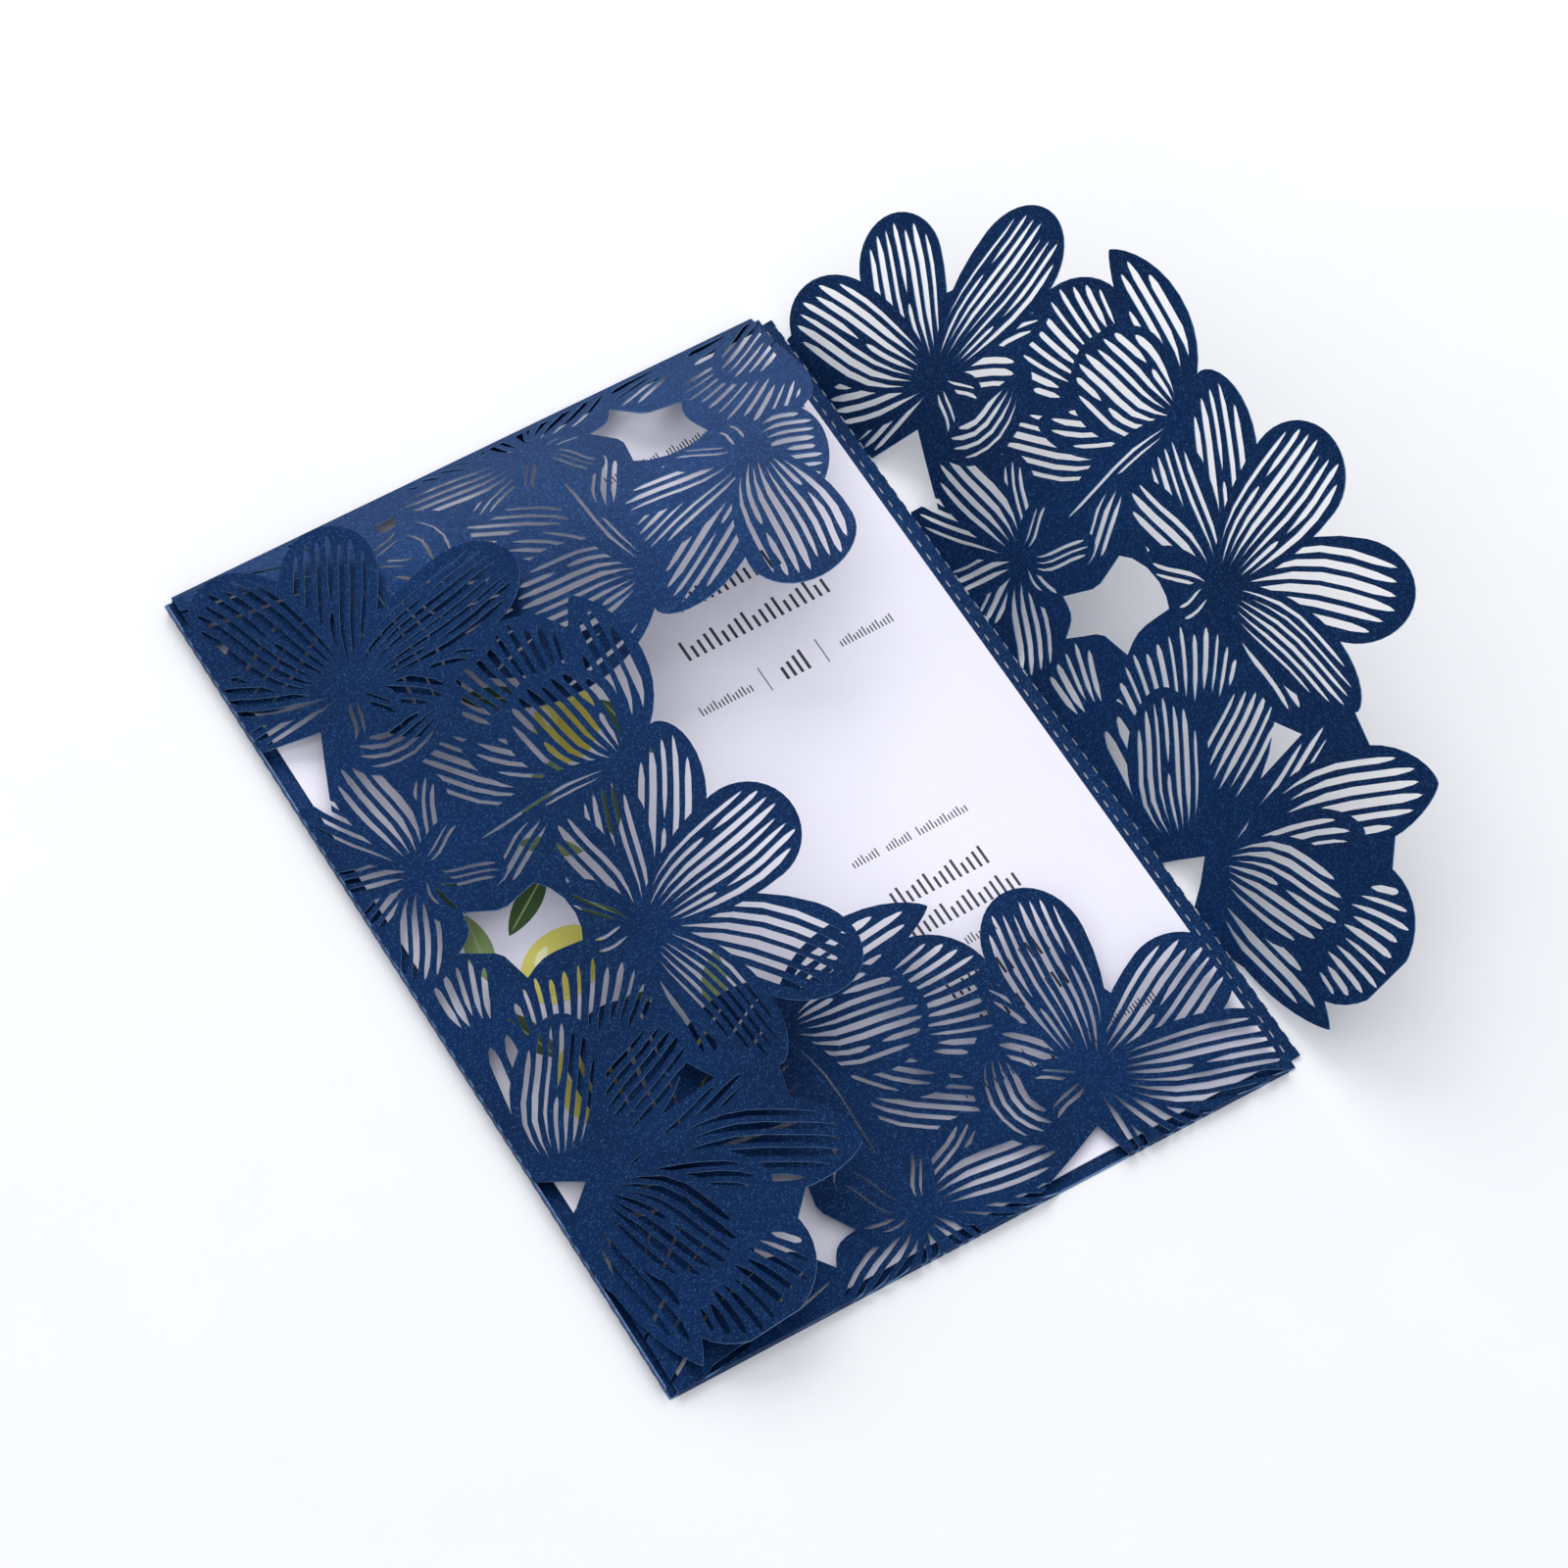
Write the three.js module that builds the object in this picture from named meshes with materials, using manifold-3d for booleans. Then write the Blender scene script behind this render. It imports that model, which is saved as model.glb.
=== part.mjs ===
// Laser-cut wedding invitation card, in millimetres, +Z up.
// One sheet of pearl card is cut as a panel with four lace flaps, then folded: the top and bottom
// flaps lie over the printed card, the left flap lies over them, and the right flap stands open.
// The origin is the middle of the back panel's underside, +X towards the open flap, +Y to the top.
import * as THREE from 'three';
import Module from 'manifold-3d';

const wasm = await Module();
wasm.setup();

// Driving dimensions of the cover
const PANEL_WIDTH = 124.5;
const PANEL_HEIGHT = 185;
const COVER_THICKNESS = 0.3;
const SIDE_SPINE = 2.0; // width of the scored strip between the panel and each side flap
const CROSS_SPINE = 1.3; // the same at the top and bottom flaps, which fold in first
const SPINE_END_GAP = 1.5; // each spine stops short of the panel's corners
const TOP_START = 181; // the place in the drawing that falls on the panel's left edge at the top
const BOTTOM_START = 55.5; // the same at the bottom, where the drawing runs the other way
const FLAP_REACH = 73; // from the fold to the tip of the longest petal
const CROSS_FLAP_TUCK = 4; // the top and bottom flaps' lace starts this far inside its drawing

// Angles of the folds, in degrees
const RIGHT_SPINE_RISE = 10;
const RIGHT_FLAP_RISE = 42; // the open flap stands up at this angle
const LEFT_FLAP_LIFT = 13; // the closed flap springs up by this angle
const TOP_FLAP_LIFT = 23;
const BOTTOM_FLAP_LIFT = 5;
const HELD_SHARE = 0.93; // how far the flaps beneath the left one rise, as a share of its slope
const LIFT_BLEND = 3; // higher values turn the bend between the held and free part into a crease

// Driving dimensions of the printed card
const INSERT_WIDTH = 120;
const INSERT_HEIGHT = 180;
const INSERT_THICKNESS = 0.35;
const INSERT_SHIFT = 0.9; // it lies a little towards the open side
const INSERT_CORNER = 0.6;

// The lace: widths of card left standing
const RIM = 2.0; // along a petal's edge
const RIB = 1.3; // between two slits
const SLIT_HALF_WIDTH = 1.5; // no slit is wider than twice this
const SLIT_LEAST = 0.15; // half of the narrowest width that is cut
const DRAWN_REACH = 73; // the petals below are drawn on a flap of this reach and length
const DRAWN_LENGTH = 185;
const DRAWN_WIDTH = 124.5;
const STRAIGHTNESS = 0.08; // an outline's points nearer than this to a straight line are left out
const CLOSEST_POINTS = 0.35;
const FOLD_STEP = 0.25; // cuts that cross a fold line start and end on steps of this length
const SMALLEST_AREA = 0.5; // a smaller window or scrap is left out
const SLIVER = 0.004; // a triangle of less width than this is taken up by its neighbour

// A petal has its base and tip at (distance from the fold, place along the fold), its half width,
// its bend sideways, its number of slits, where it is widest, how pointed its tip is (0.5 is
// round, 1 is pointed) and the stretch from base to tip that is slit.
const petal = (base, tip, half, bend, slits, widest, point, start, end) =>
  ({ base, tip, half, bend, slits, widest, point, start, end });

const UPPER_BLOOM = [19.3, 148.5];
const LILY = [12.7, 109.4];
const LOWER_BLOOM = [39.5, 76.2];

// Petals from the back one to the front one, as the drawing lays them over each other
const BUD = [
  petal([49, 107], [43, 143.6], 12.0, 0, 4, 0.66, 0.5, 0.5, 0.95),
  petal([54, 106], [61.3, 140], 6.4, -2.6, 2, 0.45, 0.8, 0.2, 0.9),
  petal([46, 107], [20, 132], 7.5, 0.5, 3, 0.62, 0.6, 0.3, 0.9),
  petal([50, 107], [30.5, 126.5], 5.4, 1.2, 2, 0.55, 0.7, 0.12, 0.92),
  petal([52.6, 106], [47, 130], 10.6, 0, 4, 0.52, 0.55, 0.07, 0.94),
];
const LOWER_BLOOM_TOP = [
  petal([41, 105], [29.5, 86], 4.6, 0, 1, 0.5, 0.6, 0.1, 0.85),
  petal(LOWER_BLOOM, [61.2, 109.2], 7.1, -3.2, 3, 0.62, 0.55, 0.25, 0.93),
  petal(LOWER_BLOOM, [47.5, 107], 6.4, 0, 2, 0.66, 0.6, 0.2, 0.92),
  petal(LOWER_BLOOM, [37, 106], 5.0, 0, 2, 0.62, 0.6, 0.2, 0.9),
  petal(LOWER_BLOOM, [31.5, 91.5], 4.0, 0, 1, 0.62, 0.6, 0.3, 0.92),
  petal([54, 105.5], [20, 108.5], 3.9, -1.2, 1, 0.5, 0.8, 0.12, 0.92),
  petal([38, 106.5], [19, 98.2], 4.6, 0.5, 2, 0.5, 0.6, 0.15, 0.9),
];
const TULIP_BACK = [
  petal([5, 66], [8.5, 92], 7.0, 0, 3, 0.72, 0.5, 0.45, 0.93),
  petal([6, 46], [27, 79.5], 14.6, -1.8, 5, 0.66, 0.5, 0.56, 0.95),
];
const TULIP_LEAF = [petal([5, 45.5], [35.5, 57], 5.2, -1.5, 2, 0.6, 0.6, 0.15, 0.93)];
const TULIP_CUP = [
  petal([4, 47], [9.5, 77], 5.2, 1.2, 1, 0.62, 0.5, 0.15, 0.92),
  petal([4.6, 45.5], [19.5, 71], 8.6, 0.5, 3, 0.52, 0.55, 0.07, 0.94),
];
const LOWER_BLOOM_SIDE = [petal(LOWER_BLOOM, [29.5, 78], 4.2, 0, 1, 0.62, 0.5, 0.4, 0.9)];
const LOWER_BLOOM_LONG = [
  petal(LOWER_BLOOM, [66, 46.5], 9.2, 2.2, 3, 0.7, 0.5, 0.14, 0.93),
  petal(LOWER_BLOOM, [46, 40], 7.0, 1.2, 3, 0.55, 0.6, 0.14, 0.93),
];
const LOWER_BLOOM_SHORT = [petal([41, 81], [47, 65], 12.6, 0, 5, 0.6, 0.5, 0.3, 0.92)];
const LOWER_BLOOM_TIP = [petal(LOWER_BLOOM, [73, 81.6], 10.4, 0.6, 4, 0.72, 0.5, 0.14, 0.95)];
const PEONY = [
  petal([8, 39], [43, 45], 3.4, -1.6, 1, 0.6, 0.7, 0.15, 0.9),
  petal([12, 34], [25, -0.4], 13.2, 0.8, 5, 0.62, 0.5, 0.5, 0.95),
  petal([16, 39], [50.3, 19.5], 9.0, 1.0, 3, 0.6, 0.7, 0.2, 0.93),
  petal([4.5, 36], [7.2, 1.0], 5.2, 0.6, 1, 0.45, 0.85, 0.12, 0.9),
  petal([11, 38], [34, 22.5], 4.6, 1.5, 1, 0.6, 0.6, 0.12, 0.93),
  petal([8.5, 39], [20.5, 13], 9.4, 0.5, 4, 0.58, 0.6, 0.07, 0.93),
];
const LILY_PETALS = [
  petal(LILY, [-3, 106], 4.8, 0, 2, 0.6, 0.5, 0.2, 0.9),
  petal(LILY, [-3, 118], 4.6, 0, 1, 0.6, 0.5, 0.25, 0.9),
  petal(LILY, [0.5, 89], 6.0, 0, 2, 0.66, 0.5, 0.25, 0.93),
  petal(LILY, [13, 97], 3.2, 0, 1, 0.6, 0.5, 0.25, 0.9),
  petal(LILY, [26, 101.5], 4.6, -1.2, 2, 0.6, 0.6, 0.22, 0.92),
  petal(LILY, [0.2, 135], 5.4, -1.0, 2, 0.6, 0.6, 0.16, 0.92),
  petal(LILY, [22.5, 127], 5.0, 0, 2, 0.6, 0.6, 0.2, 0.92),
  petal(LILY, [23.5, 113.5], 3.8, 0, 1, 0.6, 0.5, 0.25, 0.92),
  petal(LILY, [10.8, 139], 6.2, -1.0, 2, 0.62, 0.6, 0.16, 0.93),
];
const UPPER_BLOOM_PETALS = [
  petal(UPPER_BLOOM, [45, 140.5], 5.2, 1.4, 2, 0.62, 0.6, 0.18, 0.93),
  petal(UPPER_BLOOM, [34, 133], 5.0, 1.8, 1, 0.6, 0.6, 0.18, 0.85),
  petal([33, 136.5], [12.6, 138.5], 5.6, 4.2, 2, 0.55, 0.5, 0.08, 0.92),
  petal(UPPER_BLOOM, [24, 138], 3.8, 0, 1, 0.6, 0.6, 0.3, 0.94),
  petal(UPPER_BLOOM, [14.5, 138], 4.0, 0.5, 1, 0.6, 0.6, 0.3, 0.94),
  petal(UPPER_BLOOM, [-3, 150.5], 4.6, 0, 2, 0.6, 0.5, 0.2, 0.9),
  petal(UPPER_BLOOM, [-3, 163], 6.4, 0, 2, 0.62, 0.5, 0.2, 0.9),
  petal(UPPER_BLOOM, [31.8, 179.6], 9.2, 1.0, 3, 0.7, 0.5, 0.12, 0.95),
  petal(UPPER_BLOOM, [57, 153.5], 9.2, 0.6, 4, 0.7, 0.5, 0.16, 0.95),
  petal(UPPER_BLOOM, [6.4, 182.8], 9.4, 0.5, 3, 0.66, 0.5, 0.12, 0.95),
];
const SIDE_FLAP = [
  ...BUD, ...LOWER_BLOOM_TOP, ...TULIP_BACK, ...TULIP_LEAF, ...TULIP_CUP, ...LOWER_BLOOM_SIDE,
  ...LOWER_BLOOM_LONG, ...LOWER_BLOOM_TIP, ...PEONY, ...LILY_PETALS, ...UPPER_BLOOM_PETALS,
];
const CROSS_FLAP = [
  ...BUD, ...LOWER_BLOOM_TOP, ...TULIP_BACK, ...TULIP_CUP, ...LOWER_BLOOM_SIDE,
  ...LOWER_BLOOM_SHORT, ...LOWER_BLOOM_TIP, ...LILY_PETALS, ...UPPER_BLOOM_PETALS,
];

// Card behind the petals, which joins them, and the solid eye of each flower
const SIDE_WEB = [
  [0, 178], [8, 178], [18, 165], [34, 158], [46, 145], [53, 137], [58, 120], [58, 95], [60, 82],
  [57, 66], [48, 50], [44, 32], [38, 18], [26, 6], [12, 8], [4, 12], [0, 24],
];
const CROSS_WEB = [
  [0, 178], [8, 178], [18, 165], [34, 158], [46, 145], [53, 137], [58, 120], [58, 95], [60, 82],
  [48, 72], [34, 67], [24, 62], [0, 56],
];
const EYES = [[UPPER_BLOOM, 3.0], [LILY, 2.4], [LOWER_BLOOM, 3.1]];
const EYE_SIDES = 8;

// Windows that are cut last. The star's five sides bow inwards.
const HINGE_WINDOWS = [
  [[-4, 134.5], [-4, 148.2], [3, 146.2], [10.9, 144], [6.4, 133], [4.8, 128.8], [2.6, 132.2]],
  [[-4, 33.2], [-4, 49.2], [3.2, 44.4], [7.4, 41.4], [3.6, 38.2]],
  [[32.8, 50.2], [35.6, 44.6], [24.2, 44.2]],
];
const STAR = [[14.6, 98], [27.9, 95.4], [29.6, 80.6], [18, 80.2], [10.2, 91.6]];
const STAR_BOW = 1.5;
const STAR_SIDE_STEPS = 2;

const degrees = (value) => (value * Math.PI) / 180;

// Petal geometry: the width follows two quarter arcs that meet where the petal is widest.
function breadth(shape, along) {
  const before = along < shape.widest;
  const part = before ? 1 - along / shape.widest : (along - shape.widest) / (1 - shape.widest);
  return Math.max(0, 1 - part * part) ** (before ? 0.75 : shape.point);
}

// The point beside a petal's bent axis, at a share of its length and a distance to its left
function beside(shape, along, aside) {
  const [dp, dq] = [shape.tip[0] - shape.base[0], shape.tip[1] - shape.base[1]];
  const length = Math.hypot(dp, dq);
  const [np, nq] = [-dq / length, dp / length];
  const bow = shape.bend * 4 * along * (1 - along);
  const turn = shape.bend * 4 * (1 - 2 * along);
  const [gp, gq] = [dp + np * turn, dq + nq * turn];
  const slope = Math.hypot(gp, gq);
  return [
    shape.base[0] + dp * along + np * bow - (gq / slope) * aside,
    shape.base[1] + dq * along + nq * bow + (gp / slope) * aside,
  ];
}

const OUTLINE_STEPS = 4; // to each side of the widest place

function petalOutline(shape) {
  const stations = [];
  for (let i = 0; i <= OUTLINE_STEPS; i += 1) {
    stations.push(shape.widest * (1 - Math.cos((Math.PI / 2) * (i / OUTLINE_STEPS))));
  }
  for (let i = 1; i <= OUTLINE_STEPS; i += 1) {
    stations.push(shape.widest + (1 - shape.widest) * Math.sin((Math.PI / 2) * (i / OUTLINE_STEPS)));
  }
  const left = stations.map((s) => beside(shape, s, breadth(shape, s) * shape.half));
  const right = stations.map((s) => beside(shape, s, -breadth(shape, s) * shape.half));
  return [...left, ...right.slice(1, -1).reverse()];
}

const LONG_SLIT = 24; // a slit in a petal longer than this is drawn with more points
const SLIT_SCAN = 60;

// The slits fan out with the petal: each keeps its lane between the two rims.
function petalSlits(shape) {
  const length = Math.hypot(shape.tip[0] - shape.base[0], shape.tip[1] - shape.base[1]);
  const steps = length * (shape.end - shape.start) > LONG_SLIT ? 3 : 2;
  const room = (s) => {
    const rim = RIM * (0.3 + 0.6 * Math.min(1, s / shape.widest));
    return breadth(shape, s) * shape.half - rim;
  };
  const half = (s) => Math.min(room(s) / shape.slits - RIB / 2, SLIT_HALF_WIDTH);
  const slits = [];
  for (let lane = 0; lane < shape.slits; lane += 1) {
    const across = (2 * lane + 1) / shape.slits - 1;
    const open = [];
    for (let i = 0; i <= SLIT_SCAN; i += 1) {
      const s = shape.start + ((shape.end - shape.start) * i) / SLIT_SCAN;
      if (half(s) > SLIT_LEAST) open.push(s);
    }
    if (open.length < SLIT_SCAN / 6) continue;
    const [from, to] = [open[0], open[open.length - 1]];
    const at = (i) => from + ((to - from) * i) / steps;
    const points = [beside(shape, from, across * room(from))];
    for (let i = 1; i < steps; i += 1) {
      points.push(beside(shape, at(i), across * room(at(i)) + half(at(i))));
    }
    points.push(beside(shape, to, across * room(to)));
    for (let i = steps - 1; i > 0; i -= 1) {
      points.push(beside(shape, at(i), across * room(at(i)) - half(at(i))));
    }
    slits.push(points);
  }
  return slits;
}

function starOutline() {
  const middle = [0, 1].map((axis) => STAR.reduce((sum, point) => sum + point[axis], 0) / STAR.length);
  const points = [];
  STAR.forEach((corner, i) => {
    const next = STAR[(i + 1) % STAR.length];
    for (let step = 0; step < STAR_SIDE_STEPS; step += 1) {
      const t = step / STAR_SIDE_STEPS;
      const p = corner[0] + (next[0] - corner[0]) * t;
      const q = corner[1] + (next[1] - corner[1]) * t;
      const inward = (STAR_BOW * 4 * t * (1 - t)) / Math.hypot(middle[0] - p, middle[1] - q);
      points.push([p + (middle[0] - p) * inward, q + (middle[1] - q) * inward]);
    }
  });
  return points;
}

const circleOutline = ([p, q], radius) =>
  Array.from({ length: EYE_SIDES }, (_, i) => [
    p + radius * Math.cos((2 * Math.PI * i) / EYE_SIDES),
    q + radius * Math.sin((2 * Math.PI * i) / EYE_SIDES),
  ]);

// A flat plate of some outlines, 1 mm thick, as a solid for joining and cutting. A cutting plate
// is deeper on both faces.
const PLATE_THICKNESS = 1;
const POINTS_PER_MM = 1e4; // nearer points than this in a plate are one point

function plate(outlines, cutting = false) {
  const shapes = outlines.map((points) => new THREE.Shape(points.map(([x, y]) => new THREE.Vector2(x, y))));
  const depth = cutting ? 3 * PLATE_THICKNESS : PLATE_THICKNESS;
  const geometry = new THREE.ExtrudeGeometry(shapes, { depth, bevelEnabled: false });
  geometry.translate(0, 0, cutting ? -PLATE_THICKNESS : 0);
  return solidOf(geometry);
}

// Equal points become one vertex, so that the faces close.
function solidOf(geometry) {
  const position = geometry.getAttribute('position');
  const numbers = new Map();
  const vertices = [];
  const triVerts = new Uint32Array(position.count);
  for (let i = 0; i < position.count; i += 1) {
    const point = [position.getX(i), position.getY(i), position.getZ(i)];
    const key = point.map((value) => Math.round(value * POINTS_PER_MM)).join(' ');
    if (!numbers.has(key)) {
      numbers.set(key, numbers.size);
      vertices.push(...point);
    }
    triVerts[i] = numbers.get(key);
  }
  return new wasm.Manifold(
    new wasm.Mesh({ numProp: 3, vertProperties: new Float32Array(vertices), triVerts }),
  );
}

// One flap's lace in the flat blank. lay maps the drawing's (p, q) to the blank's (x, y).
function lace(petals, web, lay) {
  const onBlank = (points) => points.map(([p, q]) => lay(p, q));
  let sheet = plate([onBlank(web)]);
  for (const shape of petals) {
    sheet = sheet.add(plate([onBlank(petalOutline(shape))]));
    const slits = petalSlits(shape).map(onBlank);
    if (slits.length) sheet = sheet.subtract(plate(slits, true));
  }
  for (const [centre, radius] of EYES) {
    sheet = sheet.add(plate([onBlank(circleOutline(centre, radius))]));
  }
  for (const window of [...HINGE_WINDOWS, starOutline()]) {
    sheet = sheet.subtract(plate([onBlank(window)], true));
  }
  return sheet;
}

const box = ([x0, y0], [x1, y1]) => plate([[[x0, y0], [x1, y0], [x1, y1], [x0, y1]]]);

// The flat blank: the panel, its four spines and the lace beyond them
const halfWidth = PANEL_WIDTH / 2;
const halfHeight = PANEL_HEIGHT / 2;
const sideFold = halfWidth + SIDE_SPINE;
const crossFold = halfHeight + CROSS_SPINE;
const reachScale = FLAP_REACH / DRAWN_REACH;
const lengthScale = PANEL_HEIGHT / DRAWN_LENGTH;
const widthScale = PANEL_WIDTH / DRAWN_WIDTH;
const flapEnd = sideFold + 2 * FLAP_REACH;
const crossEnd = crossFold + 2 * FLAP_REACH;

function flatBlank() {
  const spineTop = halfHeight - SPINE_END_GAP;
  const crossSide = halfWidth - SPINE_END_GAP;
  const sideLay = (sign) => (p, q) => [sign * (sideFold + p * reachScale), q * lengthScale - halfHeight];
  const crossLay = (sign, along) => (p, q) =>
    [along(q) * widthScale - halfWidth, sign * (crossFold + (p - CROSS_FLAP_TUCK) * reachScale)];
  const sideLace = (sign) => lace(SIDE_FLAP, SIDE_WEB, sideLay(sign));
  const topLace = lace(CROSS_FLAP, CROSS_WEB, crossLay(1, (q) => TOP_START - q));
  const bottomLace = lace(CROSS_FLAP, CROSS_WEB, crossLay(-1, (q) => q - BOTTOM_START));
  return box([-halfWidth, -halfHeight], [halfWidth, halfHeight])
    .add(box([-sideFold, -spineTop], [sideFold, spineTop]))
    .add(sideLace(1).intersect(box([sideFold, -halfHeight], [flapEnd, halfHeight])))
    .add(sideLace(-1).intersect(box([-flapEnd, -halfHeight], [-sideFold, halfHeight])))
    .add(topLace.intersect(box([-crossSide, halfHeight], [crossSide, crossEnd])))
    .add(bottomLace.intersect(box([-crossSide, -crossEnd], [crossSide, -halfHeight])));
}

// The zones of the blank and where each one goes when it is folded. A fold turns the sheet
// towards +Z by its angle: 0 is flat, 90 stands up and 180 lies back over the panel.
const X_AXIS = new THREE.Vector3(1, 0, 0);
const Y_AXIS = new THREE.Vector3(0, 1, 0);
const Z_AXIS = new THREE.Vector3(0, 0, 1);

function folded(start, outward, distance, angle) {
  return start.clone()
    .addScaledVector(outward, distance * Math.cos(angle))
    .addScaledVector(Z_AXIS, distance * Math.sin(angle));
}

function sideZones(sign, spineAngle, flapAngle) {
  const outward = X_AXIS.clone().multiplyScalar(sign);
  const spine = (x, y) =>
    folded(new THREE.Vector3(sign * halfWidth, y, 0), outward, sign * x - halfWidth, spineAngle);
  const flap = (x, y) => folded(spine(sign * sideFold, y), outward, sign * x - sideFold, flapAngle);
  const zone = (from, to, place) => ({
    low: [Math.min(sign * from, sign * to), -halfHeight],
    high: [Math.max(sign * from, sign * to), halfHeight],
    place,
  });
  return [zone(halfWidth, sideFold, spine), zone(sideFold, flapEnd, flap)];
}

// The top and bottom flaps are held down at their left end by the left flap and rise to the
// right: their height blends the held slope, along X, with the free slope, away from the fold.
function crossZones(sign, lift) {
  const outward = Y_AXIS.clone().multiplyScalar(sign);
  const heldSlope = HELD_SHARE * Math.tan(degrees(LEFT_FLAP_LIFT));
  const freeSlope = Math.tan(degrees(lift));
  const spine = (x, y) =>
    folded(new THREE.Vector3(x, sign * halfHeight, 0), outward, sign * y - halfHeight, Math.PI / 2);
  const flap = (x, y) => {
    const distance = sign * y - crossFold;
    const held = heldSlope * Math.max(x + halfWidth, COVER_THICKNESS);
    const free = freeSlope * Math.max(Math.abs(distance), COVER_THICKNESS);
    const height = (held ** -LIFT_BLEND + free ** -LIFT_BLEND) ** (-1 / LIFT_BLEND);
    const slope = (freeSlope * height) / free;
    return folded(spine(x, sign * crossFold), outward, distance, Math.PI - Math.atan(slope));
  };
  const zone = (from, to, place) => ({
    low: [-halfWidth, Math.min(sign * from, sign * to)],
    high: [halfWidth, Math.max(sign * from, sign * to)],
    place,
  });
  return [zone(halfHeight, crossFold, spine), zone(crossFold, crossEnd, flap)];
}

const ZONES = [
  {
    low: [-halfWidth, -halfHeight],
    high: [halfWidth, halfHeight],
    place: (x, y) => new THREE.Vector3(x, y, 0),
  },
  ...sideZones(1, degrees(RIGHT_SPINE_RISE), degrees(RIGHT_FLAP_RISE)),
  ...sideZones(-1, degrees(90), degrees(180 - LEFT_FLAP_LIFT)),
  ...crossZones(1, TOP_FLAP_LIFT),
  ...crossZones(-1, BOTTOM_FLAP_LIFT),
];
const ON_LINE = 0.002; // nearer than this is on a zone's edge

const inZone = (zone, point) => [0, 1].every((axis) =>
  point[axis] > zone.low[axis] - ON_LINE && point[axis] < zone.high[axis] + ON_LINE);
const onZoneEdge = (zone, point) => inZone(zone, point) && [0, 1].some((axis) =>
  Math.min(point[axis] - zone.low[axis], zone.high[axis] - point[axis]) < ON_LINE);

// A point on one edge of a zone moves along it to the nearest step, so that near ones meet.
function stepped(zone, point) {
  if (!onZoneEdge(zone, point)) return point;
  const endOf = (axis) =>
    [zone.low[axis], zone.high[axis]].find((end) => Math.abs(end - point[axis]) < ON_LINE);
  const ends = [endOf(0), endOf(1)];
  return ends.map((end, axis) => end ?? Math.round(point[axis] / FOLD_STEP) * FOLD_STEP);
}

// The closed outlines of a plate's upper face, outer ones anticlockwise and holes clockwise
function outlinesOf(solid) {
  const { vertProperties, triVerts, numProp } = solid.getMesh();
  const onTop = (vertex) => vertProperties[vertex * numProp + 2] > PLATE_THICKNESS / 2;
  const edges = new Map();
  for (let i = 0; i < triVerts.length; i += 3) {
    const corners = [0, 1, 2].map((k) => triVerts[i + k]);
    if (corners.every(onTop)) {
      const [a, b, c] = corners;
      for (const [from, to] of [[a, b], [b, c], [c, a]]) edges.set(`${from} ${to}`, [from, to]);
    }
  }
  const next = new Map();
  for (const [from, to] of edges.values()) {
    if (!edges.has(`${to} ${from}`)) next.set(from, to);
  }
  const outlines = [];
  while (next.size) {
    let [corner] = next.keys();
    const outline = [];
    while (next.has(corner)) {
      outline.push([vertProperties[corner * numProp], vertProperties[corner * numProp + 1]]);
      const following = next.get(corner);
      next.delete(corner);
      corner = following;
    }
    outlines.push(outline);
  }
  return outlines;
}

const areaOf = (outline) => outline.reduce((sum, [x, y], i) => {
  const [nx, ny] = outline[(i + 1) % outline.length];
  return sum + (x * ny - y * nx) / 2;
}, 0);

// Drops points that lie on the line between their neighbours, or almost on the one before.
function simplified(outline, keep) {
  const points = [...outline];
  const isNeeded = (i) => {
    const [point, after] = [points[i], points[(i + 1) % points.length]];
    const before = points[(i + points.length - 1) % points.length];
    const [dx, dy] = [after[0] - before[0], after[1] - before[1]];
    const across = (point[0] - before[0]) * dy - (point[1] - before[1]) * dx;
    const gap = Math.hypot(point[0] - before[0], point[1] - before[1]);
    return keep(point) || (Math.abs(across) > STRAIGHTNESS * Math.hypot(dx, dy) && gap > CLOSEST_POINTS);
  };
  for (let i = 0; i < points.length && points.length > 2;) {
    if (isNeeded(i)) {
      i += 1;
    } else {
      points.splice(i, 1);
      i = Math.max(0, i - 1);
    }
  }
  return points;
}

const isInside = ([x, y], outline) => outline.reduce((inside, [ax, ay], i) => {
  const [bx, by] = outline[(i + 1) % outline.length];
  const crosses = ay > y !== by > y && x < ax + ((y - ay) / (by - ay)) * (bx - ax);
  return crosses ? !inside : inside;
}, false);

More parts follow.
